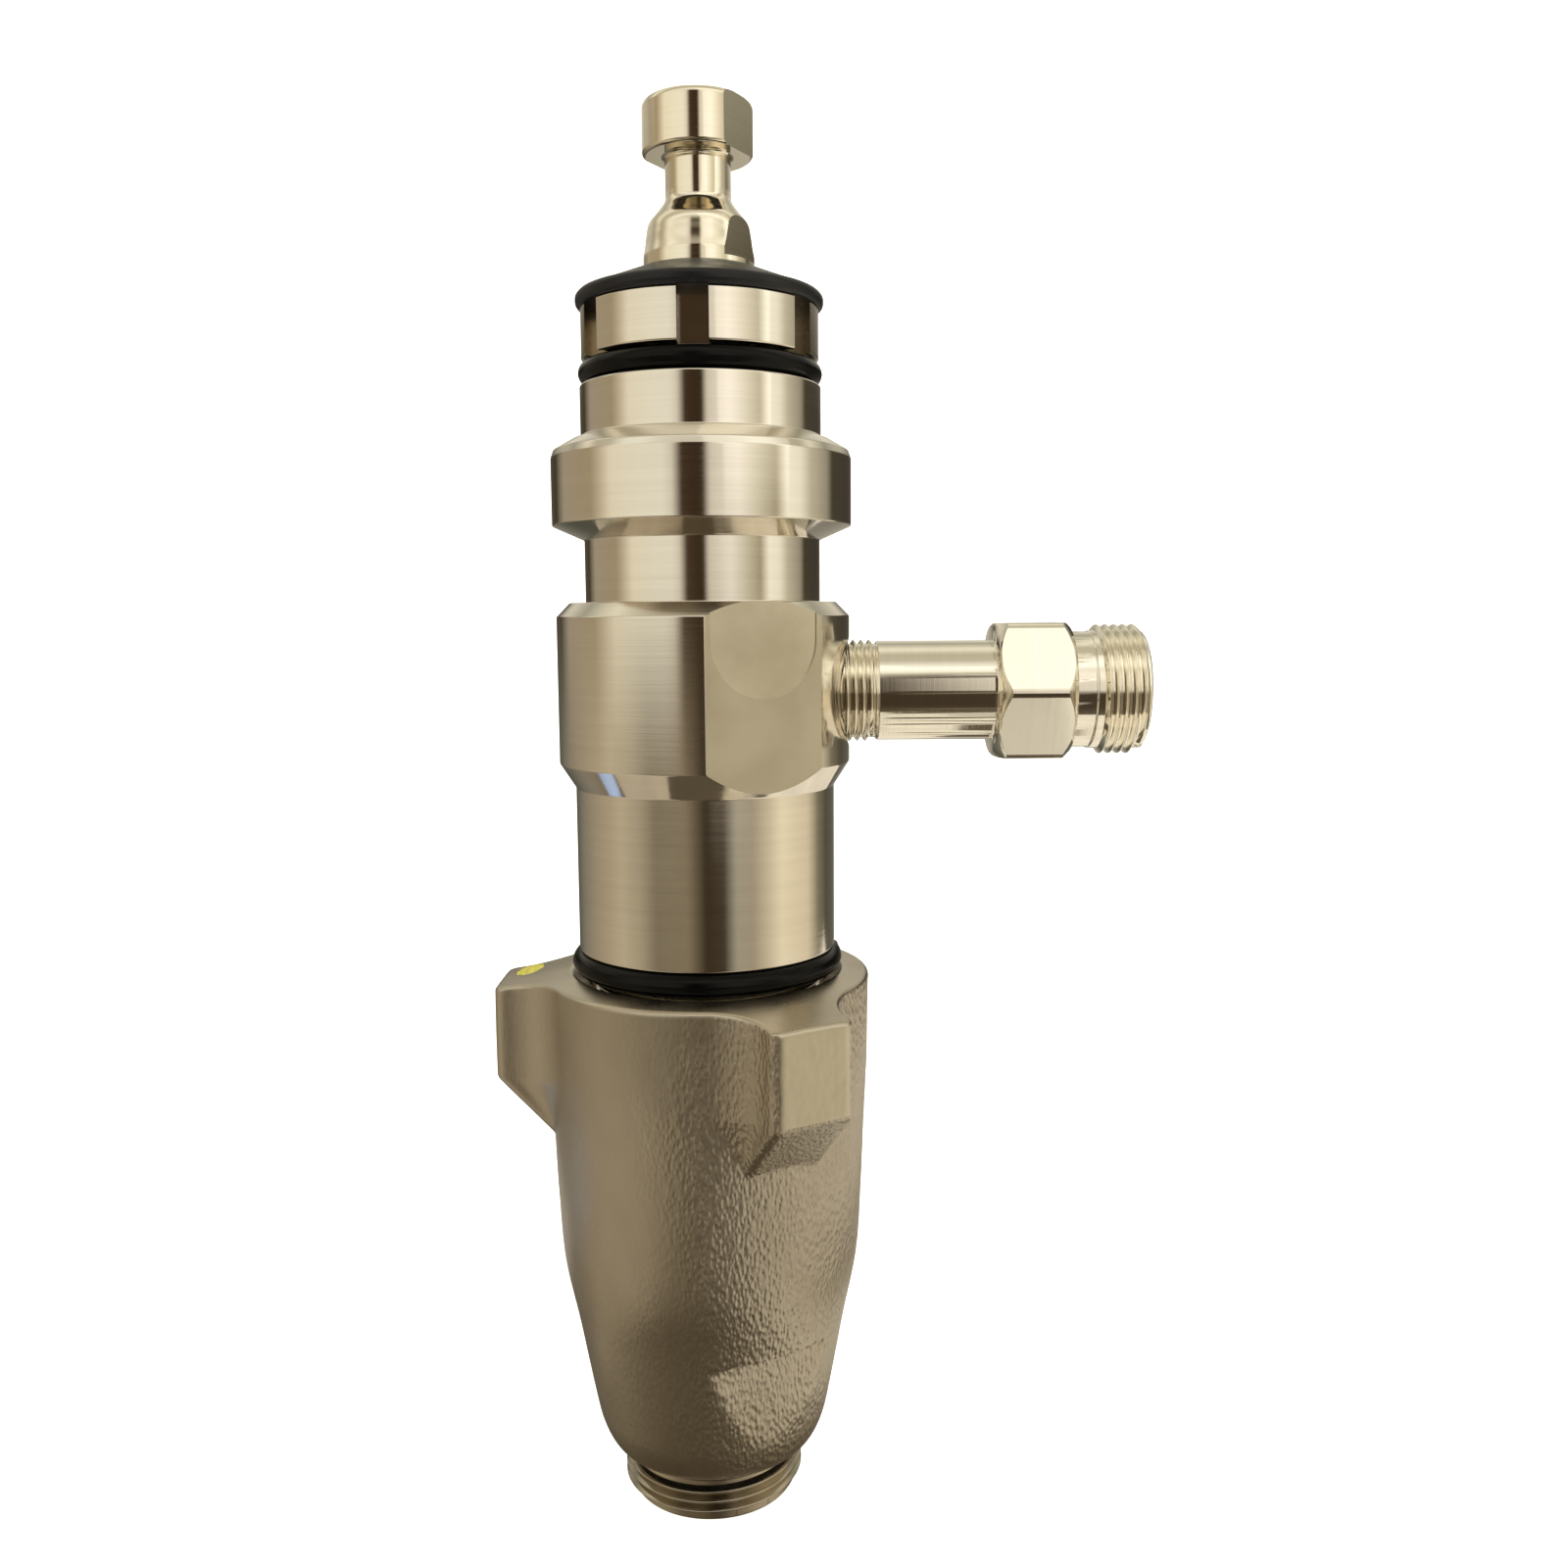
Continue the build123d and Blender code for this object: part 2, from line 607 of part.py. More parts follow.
PISTON_RIM = SLEEVE_BORE_RADIUS - RUNNING_GAP
PISTON_BORE = PISTON_STEM_RADIUS + ASSEMBLY_GAP


def piston_valve():
    with BuildPart() as piece:
        # Wrench hexagon under a round flange.
        with BuildSketch(Plane.XY.offset(PISTON_BOTTOM)):
            RegularPolygon(PISTON_HEXAGON / 2, 6, major_radius=False)
        extrude(amount=5)
        with BuildSketch(Plane.XZ):
            with BuildLine():
                Polyline(
                    (0, PISTON_HEXAGON_TOP),
                    (PISTON_FLANGE_RADIUS - EDGE_CHAMFER, PISTON_HEXAGON_TOP),
                    (PISTON_FLANGE_RADIUS, PISTON_HEXAGON_TOP + EDGE_CHAMFER),
                    (PISTON_FLANGE_RADIUS, PISTON_FLANGE_TOP),
                    (PISTON_STEM_RADIUS, PISTON_FLANGE_TOP),
                    (PISTON_STEM_RADIUS, ROD_BOTTOM),
                    (ROD_SOCKET_RADIUS - ASSEMBLY_GAP, ROD_BOTTOM),
                    (ROD_SOCKET_RADIUS - ASSEMBLY_GAP, PISTON_STEM_TOP),
                    (0, PISTON_STEM_TOP),
                    close=True,
                )
            make_face()
        revolve(axis=Axis.Z)
        with BuildSketch(Plane.XY.offset(PISTON_BOTTOM)):
            Circle(PISTON_PASSAGE_RADIUS)
        extrude(amount=PISTON_STEM_TOP - PISTON_BOTTOM, mode=Mode.SUBTRACT)
    return piece


def piston_seat():
    return turned(
        [
            (PISTON_PASSAGE_RADIUS, PISTON_STEM_TOP),
            (ROD_SOCKET_RADIUS - ASSEMBLY_GAP, PISTON_STEM_TOP),
            (ROD_SOCKET_RADIUS - ASSEMBLY_GAP, PISTON_SEAT_TOP),
            (PISTON_SEAT_HOLE_RADIUS, PISTON_SEAT_TOP),
            (PISTON_SEAT_HOLE_RADIUS, PISTON_SEAT_TOP - 1.0),
            (PISTON_PASSAGE_RADIUS, PISTON_SEAT_TOP - 1.4),
        ]
    )


def piston_lower_gland():
    return turned(
        lower_gland_points(PISTON_BORE, PISTON_RIM, PISTON_FLANGE_TOP, PISTON_GLAND_EDGE, PISTON_PEAK)
    )


def piston_packing(number):
    bottom = PISTON_GLAND_EDGE + ASSEMBLY_GAP + number * PISTON_PITCH
    return turned(packing_points(PISTON_BORE, PISTON_RIM, bottom, PISTON_PACKING_THICKNESS, PISTON_PEAK))


def piston_upper_gland():
    edge = PISTON_STACK_TOP + ASSEMBLY_GAP
    return turned(upper_gland_points(PISTON_BORE, PISTON_RIM, edge, ROD_BOTTOM, PISTON_PEAK))


# Displacement rod: T-shaped head, neck, rounded shoulder and a long ground shaft with a hollow lower end.

HEAD_RADIUS = 10.9
HEAD_BOTTOM = 275.4
NECK_RADIUS = 6.5
NECK_BOTTOM = 268.0
SHAFT_TOP = 256.0
HEAD_ROUNDING = 1.0
ROD_FLAT_BOTTOM = 255.0


def displacement_rod():
    flat_plane = Plane.XY.rotated((0, 0, ROD_FLAT_AZIMUTH))
    with BuildPart() as piece:
        with BuildSketch(Plane.XZ):
            with BuildLine():
                socket = Polyline(
                    (0, BALL_CHAMBER_TOP + SOCKET_TIP),
                    (PISTON_SEAT_HOLE_RADIUS, BALL_CHAMBER_TOP + SOCKET_THROAT),
                    (PISTON_SEAT_HOLE_RADIUS, BALL_CHAMBER_TOP),
                    (BALL_CHAMBER_RADIUS, BALL_CHAMBER_TOP),
                    (BALL_CHAMBER_RADIUS, PISTON_SEAT_TOP),
                    (ROD_SOCKET_RADIUS, PISTON_SEAT_TOP),
                    (ROD_SOCKET_RADIUS, ROD_BOTTOM),
                    (ROD_RADIUS - ROD_CHAMFER, ROD_BOTTOM),
                    (ROD_RADIUS, ROD_BOTTOM + ROD_CHAMFER),
                    (ROD_RADIUS, SHAFT_TOP),
                )
                shoulder = Spline(
                    socket @ 1,
                    (10.6, 258.2),
                    (10.36, 260.4),
                    (9.85, 262.7),
                    (8.1, 264.9),
                    (6.6, 267.2),
                    tangents=[(-0.05, 1), (-0.1, 1)],
                )
                Polyline(
                    shoulder @ 1,
                    (NECK_RADIUS, NECK_BOTTOM),
                    (NECK_RADIUS, HEAD_BOTTOM - ROD_CHAMFER),
                    (NECK_RADIUS + ROD_CHAMFER, HEAD_BOTTOM),
                    (HEAD_RADIUS - ROD_CHAMFER, HEAD_BOTTOM),
                    (HEAD_RADIUS, HEAD_BOTTOM + ROD_CHAMFER),
                    (HEAD_RADIUS, ROD_TOP - HEAD_ROUNDING),
                    (HEAD_RADIUS - FINE_CHAMFER, ROD_TOP - FINE_CHAMFER),
                    (HEAD_RADIUS - HEAD_ROUNDING, ROD_TOP),
                    (0, ROD_TOP),
                    (0, BALL_CHAMBER_TOP + SOCKET_TIP),
                )
            make_face()
        revolve(axis=Axis.Z)

        # Two parallel wrench flats across the head and the shoulder.
        with BuildSketch(flat_plane.offset(ROD_FLAT_BOTTOM)):
            for side in (1, -1):
                with Locations((side * (ROD_FLAT_DISTANCE + 2), 0)):
                    Rectangle(4, 3 * ROD_RADIUS)
        extrude(amount=ROD_TOP - ROD_FLAT_BOTTOM, mode=Mode.SUBTRACT)

        # Crossed ports that let the paint out of the ball chamber.
        for plane in (Plane.XZ, Plane.YZ):
            with BuildSketch(plane):
                with Locations((0, ROD_PORT_HEIGHT)):
                    Circle(ROD_PORT_RADIUS)
            extrude(amount=ROD_RADIUS + 1, both=True, mode=Mode.SUBTRACT)
    return piece


# Packing nut with its spanner slots, the cap on it and the O-ring under its head.

NUT_NOSE_RADIUS = 16.8
NUT_NOSE_TOP = 217.4
NUT_THREAD_TOP = 229.4
NUT_NECK_RADIUS = 18.8
WET_CUP_RADIUS = 16.4
WET_CUP_FLOOR = 227.0
NUT_BORE_RADIUS = 11.6
COLLAR_RING_SECTION = 2.2
COLLAR_RING_RADIUS = 22.1


def packing_nut():
    outer, depth, pitch = NUT_THREAD
    with BuildPart() as piece:
        with BuildSketch(Plane.XZ):
            with BuildLine():
                Polyline(
                    (NUT_BORE_RADIUS, THROAT_GLAND_TOP + ASSEMBLY_GAP),
                    (NUT_NOSE_RADIUS, THROAT_GLAND_TOP + ASSEMBLY_GAP),
                    (NUT_NOSE_RADIUS, NUT_NOSE_TOP),
                    *thread_rings(outer, depth, pitch, NUT_NOSE_TOP, NUT_THREAD_TOP),
                    (NUT_NECK_RADIUS, NUT_THREAD_TOP),
                    (NUT_NECK_RADIUS, NUT_HEAD_BOTTOM),
                    (NUT_HEAD_RADIUS - FINE_CHAMFER, NUT_HEAD_BOTTOM),
                    (NUT_HEAD_RADIUS, NUT_HEAD_BOTTOM + FINE_CHAMFER),
                    (NUT_HEAD_RADIUS, NUT_HEAD_TOP - FINE_CHAMFER),
                    (NUT_HEAD_RADIUS - FINE_CHAMFER, NUT_HEAD_TOP),
                    (WET_CUP_RADIUS, NUT_HEAD_TOP),
                    (WET_CUP_RADIUS, WET_CUP_FLOOR),
                    (NUT_BORE_RADIUS, WET_CUP_FLOOR),
                    close=True,
                )
            make_face()
        revolve(axis=Axis.Z)
        with BuildSketch(Plane.XY.offset(NUT_HEAD_BOTTOM)):
            with PolarLocations(0, SLOT_COUNT, start_angle=-90):
                with Locations((SLOT_FLOOR_RADIUS + 4, 0)):
                    Rectangle(8, SLOT_WIDTH)
        extrude(amount=NUT_HEAD_TOP - NUT_HEAD_BOTTOM, mode=Mode.SUBTRACT)
    return piece


CAP_RIM_RADIUS = 24.6
CAP_RIM_TOP = 249.2
CAP_HOLE_RADIUS = 11.4
CAP_SKIRT_BOTTOM = 241.0
CAP_SKIRT_BORE_RADIUS = 14.9


def nut_cap():
    with BuildPart() as piece:
        with BuildSketch(Plane.XZ):
            with BuildLine():
                under = Polyline(
                    (CAP_HOLE_RADIUS, CAP_TOP),
                    (CAP_HOLE_RADIUS, CAP_TOP - 2.0),
                    (CAP_SKIRT_BORE_RADIUS, CAP_TOP - 3.6),
                    (CAP_SKIRT_BORE_RADIUS, CAP_SKIRT_BOTTOM),
                    (WET_CUP_RADIUS - ASSEMBLY_GAP, CAP_SKIRT_BOTTOM),
                    (WET_CUP_RADIUS - ASSEMBLY_GAP, NUT_HEAD_TOP),
                    (CAP_RIM_RADIUS - 1.2, NUT_HEAD_TOP),
                )
                rim = ThreePointArc(
                    under @ 1,
                    (CAP_RIM_RADIUS, (NUT_HEAD_TOP + CAP_RIM_TOP) / 2),
                    (CAP_RIM_RADIUS - 1.3, CAP_RIM_TOP),
                )
                Polyline(rim @ 1, (12.9, CAP_TOP - 0.15), (12.4, CAP_TOP), (CAP_HOLE_RADIUS, CAP_TOP))
            make_face()
        revolve(axis=Axis.Z)
    return piece


def collar_o_ring():
    height = COLLAR_TOP + ASSEMBLY_GAP + COLLAR_RING_SECTION
    return ring_seal(COLLAR_RING_RADIUS, height, COLLAR_RING_SECTION)


# Outlet nipple: threads at both ends, a tube and a wrench hexagon between them.

OUTLET_AXIS = Axis((0, 0, OUTLET_HEIGHT), (1, 0, 0))


def along_outlet(points):
    """Points given as radius and distance along +X, placed in the XZ plane about the outlet's axis."""
    return [(distance, OUTLET_HEIGHT + radius) for radius, distance in points]


def outlet_nipple():
    port_outer, port_depth, port_pitch = PORT_THREAD
    hose_outer, hose_depth, hose_pitch = HOSE_THREAD
    hose_root = hose_outer - hose_depth
    with BuildPart() as piece:
        with BuildSketch(Plane.YZ.offset(HEXAGON_START)):
            with Locations((0, OUTLET_HEIGHT)):
                RegularPolygon(HEXAGON_ACROSS_FLATS / 2, 6, major_radius=False)
        extrude(amount=HEXAGON_END - HEXAGON_START)
        # The hexagon's corners are turned back at both ends.
        with BuildSketch(Plane.XZ):
            with BuildLine():
                Polyline(
                    *along_outlet(
                        [
                            (0, HEXAGON_START),
                            (HEXAGON_FACE_RADIUS, HEXAGON_START),
                            (HEXAGON_CONE_RADIUS, HEXAGON_START + HEXAGON_CONE_LENGTH),
                            (HEXAGON_CONE_RADIUS, HEXAGON_END - HEXAGON_CONE_LENGTH),
                            (HEXAGON_FACE_RADIUS, HEXAGON_END),
                            (0, HEXAGON_END),
                        ]
                    ),
                    close=True,
                )
            make_face()
        revolve(axis=OUTLET_AXIS, mode=Mode.INTERSECT)

        outline = [(OUTLET_BORE_RADIUS, OUTLET_START), (port_outer - port_depth, OUTLET_START)]
        port_start = OUTLET_START + FINE_CHAMFER
        outline += thread_rings(port_outer, port_depth, port_pitch, port_start, OUTLET_THREAD_END)
        outline += [
            (OUTLET_TUBE_RADIUS, OUTLET_THREAD_END),
            (OUTLET_TUBE_RADIUS, HEXAGON_START + 1),
            (OUTLET_BORE_RADIUS, HEXAGON_START + 1),
        ]
        with BuildSketch(Plane.XZ):
            with BuildLine():
                Polyline(*along_outlet(outline), close=True)
            make_face()
        revolve(axis=OUTLET_AXIS)

        outline = [
            (OUTLET_BORE_RADIUS, HEXAGON_END - 1),
            (OUTLET_NECK_RADIUS, HEXAGON_END - 1),
            (OUTLET_NECK_RADIUS, HOSE_THREAD_START),
        ]
        outline += thread_rings(hose_outer, hose_depth, hose_pitch, HOSE_THREAD_START, OUTLET_END)
        outline += [(hose_root - EDGE_CHAMFER, OUTLET_END), (OUTLET_BORE_RADIUS, OUTLET_END)]
        with BuildSketch(Plane.XZ):
            with BuildLine():
                Polyline(*along_outlet(outline), close=True)
            make_face()
        revolve(axis=OUTLET_AXIS)

        # Bore, opening into a sealing cone at the hose end.
        with BuildSketch(Plane.XZ):
            with BuildLine():
                Polyline(
                    *along_outlet(
                        [
                            (0, OUTLET_START),
                            (OUTLET_BORE_RADIUS, OUTLET_START),
                            (OUTLET_BORE_RADIUS, OUTLET_END - SEALING_CONE_LENGTH),
                            (SEALING_CONE_RADIUS, OUTLET_END),
                            (0, OUTLET_END),
                        ]
                    ),
                    close=True,
                )
            make_face()
        revolve(axis=OUTLET_AXIS, mode=Mode.SUBTRACT)
    return piece


def build_all():
    os.makedirs("parts", exist_ok=True)
    save(pump_cylinder(), "pump_cylinder")
    save(cylinder_sleeve(), "cylinder_sleeve")
    save(sleeve_o_ring(), "sleeve_o_ring")
    save(intake_housing(), "intake_housing")
    save(housing_o_ring(), "housing_o_ring")
    save(intake_seat(), "intake_seat")
    save(intake_seat_o_ring(), "intake_seat_o_ring")
    save(ball_guide(), "ball_guide")
    save(ball(INTAKE_BALL_RADIUS, INTAKE_BALL_HEIGHT), "intake_ball")
    save(throat_lower_gland(), "throat_lower_gland")
    for number in range(THROAT_PACKINGS):
        save(throat_packing(number), f"throat_packing_{number + 1}")
    save(throat_upper_gland(), "throat_upper_gland")
    save(packing_nut(), "packing_nut")
    save(nut_cap(), "nut_cap")
    save(collar_o_ring(), "collar_o_ring")
    save(displacement_rod(), "displacement_rod")
    save(piston_valve(), "piston_valve")
    save(piston_seat(), "piston_seat")
    save(ball(PISTON_BALL_RADIUS, PISTON_BALL_HEIGHT), "piston_ball")
    save(piston_lower_gland(), "piston_lower_gland")
    for number in range(PISTON_PACKINGS):
        save(piston_packing(number), f"piston_packing_{number + 1}")
    save(piston_upper_gland(), "piston_upper_gland")
    save(outlet_nipple(), "outlet_nipple")


build_all()
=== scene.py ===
"""Airless sprayer's displacement pump: the finished surfaces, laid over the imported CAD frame.

Heights and radii are in millimetres, as on a turner's drawing, and MM turns them into metres. Turns are
degrees about the pump's axis, from +X, where the outlet nipple points, towards +Y. The studio has its own
azimuths, from -Y, the front, towards +X.
"""
import json
import math

import bpy
import numpy as np
from mathutils import Matrix, Vector, noise


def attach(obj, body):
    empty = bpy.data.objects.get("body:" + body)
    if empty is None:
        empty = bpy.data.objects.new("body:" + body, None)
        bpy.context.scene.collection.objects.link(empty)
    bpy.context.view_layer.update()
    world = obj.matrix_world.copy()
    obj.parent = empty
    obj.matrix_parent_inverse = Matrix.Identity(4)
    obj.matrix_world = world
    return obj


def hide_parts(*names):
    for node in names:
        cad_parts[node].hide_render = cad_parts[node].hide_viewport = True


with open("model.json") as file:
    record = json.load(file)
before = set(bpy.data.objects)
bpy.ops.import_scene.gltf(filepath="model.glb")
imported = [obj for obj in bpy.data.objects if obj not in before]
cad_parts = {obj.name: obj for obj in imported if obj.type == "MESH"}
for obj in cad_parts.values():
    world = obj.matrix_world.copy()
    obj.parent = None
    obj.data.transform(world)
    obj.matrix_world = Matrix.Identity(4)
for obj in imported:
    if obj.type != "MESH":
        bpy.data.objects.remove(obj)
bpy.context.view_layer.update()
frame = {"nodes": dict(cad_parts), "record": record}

MM = 0.001
ROUND_STEPS = 224
OUTLET_HEIGHT = 170.8
# Corners that turn by less than this stay as they are.
LEAST_CORNER = 12


# ---------------------------------------------------------------- outlines and meshes

def softened(points, radius, steps=4, closed=True):
    """The outline with its sharp corners turned into small curves of about that radius."""
    result = []
    count = len(points)
    for index, point in enumerate(points):
        corner = Vector(point)
        if not closed and index in (0, count - 1):
            result.append(tuple(corner))
            continue
        before = Vector(points[index - 1]) - corner
        after = Vector(points[(index + 1) % count]) - corner
        turn = math.pi - before.angle(after, math.pi)
        if turn < math.radians(LEAST_CORNER):
            result.append(tuple(corner))
            continue
        reach = min(radius, 0.45 * before.length, 0.45 * after.length)
        start = corner + before.normalized() * reach
        end = corner + after.normalized() * reach
        for step in range(steps + 1):
            t = step / steps
            result.append(tuple(start * (1 - t) ** 2 + corner * (2 * t * (1 - t)) + end * t * t))
    return result


def curve_through(points, steps=8):
    """Points of a smooth curve through the given points (Catmull-Rom)."""
    known = [Vector(p) for p in points]
    known = [known[0] * 2 - known[1]] + known + [known[-1] * 2 - known[-2]]
    result = []
    for a, b, c, d in zip(known, known[1:], known[2:], known[3:]):
        for step in range(steps):
            t = step / steps
            place = 2 * b + (c - a) * t + (2 * a - 5 * b + 4 * c - d) * t ** 2
            place += (3 * b - a - 3 * c + d) * t ** 3
            result.append(tuple(place / 2))
    result.append(tuple(points[-1]))
    return result


def evenly(points, spacing):
    """The open outline again, with its points about that far apart."""
    line = np.array(points, float)
    lengths = np.hypot(*np.diff(line, axis=0).T)
    along = np.concatenate([[0], np.cumsum(lengths)])
    places = np.linspace(0, along[-1], max(2, int(round(along[-1] / spacing)) + 1))
    return list(zip(np.interp(places, along, line[:, 0]), np.interp(places, along, line[:, 1])))


def make_piece(name, vertices, faces, material, sharp=24):
    """A mesh object from vertices in millimetres, smooth except where faces meet at a clear angle."""
    mesh = bpy.data.meshes.new(name)
    mesh.from_pydata([tuple(c * MM for c in v) for v in vertices], [], faces)
    mesh.validate()
    mesh.materials.append(material)
    piece = bpy.data.objects.new(name, mesh)
    bpy.context.collection.objects.link(piece)
    shade(piece, sharp)
    return piece


def shade(piece, sharp=24):
    mesh = piece.data
    mesh.polygons.foreach_set("use_smooth", [True] * len(mesh.polygons))
    mesh.set_sharp_from_angle(angle=math.radians(sharp))
    if "normals" not in piece.modifiers:
        weighted = piece.modifiers.new("normals", "WEIGHTED_NORMAL")
        weighted.keep_sharp = True
        weighted.weight = 80


def grid_faces(rows, columns, closed_rows):
    """Faces of a grid whose columns go round, and whose rows may too."""
    faces = []
    for row in range(rows if closed_rows else rows - 1):
        low = row * columns
        high = ((row + 1) % rows) * columns
        for column in range(columns):
            after = (column + 1) % columns
            faces.append((low + column, low + after, high + after, high + column))
    return faces


def lathe(name, outline, material, steps=ROUND_STEPS, sharp=24):
    """A piece turned about the pump's axis from a closed section of (radius, height)."""
    angles = np.linspace(0, 2 * math.pi, steps, endpoint=False)
    vertices = [(r * math.cos(a), r * math.sin(a), z) for r, z in outline for a in angles]
    return make_piece(name, vertices, grid_faces(len(outline), steps, True), material, sharp)


def solid_lathe(name, outline, material, steps=ROUND_STEPS):
    """A piece turned from an outline that starts and ends on the axis."""
    angles = np.linspace(0, 2 * math.pi, steps, endpoint=False)
    ring_points = outline[1:-1]
    vertices = [(r * math.cos(a), r * math.sin(a), z) for r, z in ring_points for a in angles]
    faces = grid_faces(len(ring_points), steps, False)
    first, last = len(vertices), len(vertices) + 1
    vertices += [(0, 0, outline[0][1]), (0, 0, outline[-1][1])]
    top = (len(ring_points) - 1) * steps
    for column in range(steps):
        after = (column + 1) % steps
        faces.append((first, after, column))
        faces.append((last, top + column, top + after))
    return make_piece(name, vertices, faces, material)


# A thread's ridge: how far it is sunk in its cylinder, and, in pitches or turns, where its middle starts,
# how much shorter than its span it is, and how long it takes to run out.
RIDGE_SUNK = 0.35
RIDGE_START = 0.42
RIDGE_SHORTER = 0.85
RIDGE_RUN_OUT = 0.22
RIDGE_LEAST = 0.04


def thread_ridge(name, outer, root, pitch, start, end, material, steps=72):
    """A helical V ridge standing on a root cylinder, running out to nothing at both ends."""
    turns = (end - start) / pitch - RIDGE_SHORTER
    count = int(turns * steps)
    sunk = root - RIDGE_SUNK
    vertices = []
    for index in range(count + 1):
        angle = 2 * math.pi * index / steps
        middle = start + pitch * (RIDGE_START + index / steps)
        run = min(index, count - index) / (RIDGE_RUN_OUT * steps)
        height = (outer - root) * min(1.0, RIDGE_LEAST + run)
        half = [(sunk, 0.46), (root, 0.44), (root + height * 0.94, 0.09), (root + height, 0.04)]
        section = [(radius, -across) for radius, across in half] + half[::-1]
        for radius, across in section:
            vertices.append((radius * math.cos(angle), radius * math.sin(angle), middle + across * pitch))
    width = len(section)
    faces = []
    for index in range(count):
        low, high = index * width, (index + 1) * width
        for side in range(width):
            after = (side + 1) % width
            faces.append((low + side, high + side, high + after, low + after))
    faces.append(tuple(range(width)))
    faces.append(tuple(count * width + side for side in reversed(range(width))))
    return make_piece(name, vertices, faces, material, sharp=30)


def bake_modifiers(piece):
    """Turns the piece's modifiers into plain mesh."""
    graph = bpy.context.evaluated_depsgraph_get()
    mesh = bpy.data.meshes.new_from_object(piece.evaluated_get(graph))
    piece.modifiers.clear()
    piece.data = mesh
    return piece


def combine(piece, others, operation="DIFFERENCE"):
    """Cuts the other meshes out of the piece, or joins or intersects them with it, and removes them."""
    for other in [piece, *others]:
        other.modifiers.clear()
    for other in others:
        cut = piece.modifiers.new("cut", "BOOLEAN")
        cut.operation = operation
        cut.solver = "EXACT"
        cut.material_mode = "TRANSFER"
        cut.object = other
    bake_modifiers(piece)
    for other in others:
        bpy.data.objects.remove(other)
    shade(piece)
    return piece


def block(name, low, high, turn, material):
    """A box between two corners, turned about the pump's axis; only ever a cutter."""
    corners = [(x, y, z) for x in (low[0], high[0]) for y in (low[1], high[1]) for z in (low[2], high[2])]
    about = Matrix.Rotation(math.radians(turn), 3, "Z")
    corners = [tuple(about @ Vector(c)) for c in corners]
    faces = [(0, 1, 3, 2), (4, 6, 7, 5), (0, 4, 5, 1), (2, 3, 7, 6), (0, 2, 6, 4), (1, 5, 7, 3)]
    return make_piece(name, corners, faces, material)


def lay_along_outlet(piece):
    """Moves a piece turned about Z so that it is turned about the outlet's axis instead."""
    turn = Matrix.Rotation(math.radians(90), 4, "Y")
    piece.data.transform(Matrix.Translation((0, 0, OUTLET_HEIGHT * MM)) @ turn)
    return piece


def fit(piece, body, slot, *nodes):
    """The piece rides on a body and stands for its CAD nodes, which are hidden; the slot argument is not
    used.
    """
    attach(piece, body)
    if nodes:
        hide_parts(*nodes)
    return piece


# ---------------------------------------------------------------- materials

# Most of a noise's values lie between these.
NOISE_LOW, NOISE_HIGH = 0.3, 0.7


class NodeTree:
    """Adds and links the nodes of one material or of the world."""

    def __init__(self, tree):
        self.nodes, self.links = tree.nodes, tree.links

    def spread(self, value, low, high, to_low=0.0, to_high=1.0, smooth=False):
        """The value's range from low to high, mapped to another range."""
        node = self.nodes.new("ShaderNodeMapRange")
        if smooth:
            node.interpolation_type = "SMOOTHSTEP"
        node.inputs["From Min"].default_value = low
        node.inputs["From Max"].default_value = high
        node.inputs["To Min"].default_value = to_low
        node.inputs["To Max"].default_value = to_high
        self.links.new(value, node.inputs["Value"])
        return node.outputs["Result"]

    def calculate(self, operation, a, b):
        node = self.nodes.new("ShaderNodeMath")
        node.operation = operation
        for socket, value in zip(node.inputs, (a, b)):
            if isinstance(value, (int, float)):
                socket.default_value = value
            else:
                self.links.new(value, socket)
        return node.outputs["Value"]

    def mix(self, factor, a, b):
        """Colour a to colour b by the factor. Either may be a colour or a socket."""
        node = self.nodes.new("ShaderNodeMix")
        node.data_type = "RGBA"
        self.links.new(factor, node.inputs["Factor"])
        for socket, value in ((node.inputs[6], a), (node.inputs[7], b)):
            if isinstance(value, tuple):
                socket.default_value = (*value, 1)
            else:
                self.links.new(value, socket)
        return node.outputs[2]

    def ramp(self, value, stops):
        """The colour at the value, from stops of (place, colour)."""
        node = self.nodes.new("ShaderNodeValToRGB")
        elements = node.color_ramp.elements
        while len(elements) < len(stops):
            elements.new(0.5)
        for element, (place, color) in zip(elements, sorted(stops)):
            element.position = place
            element.color = (*color, 1)
        self.links.new(value, node.inputs["Fac"])
        return node.outputs["Color"]


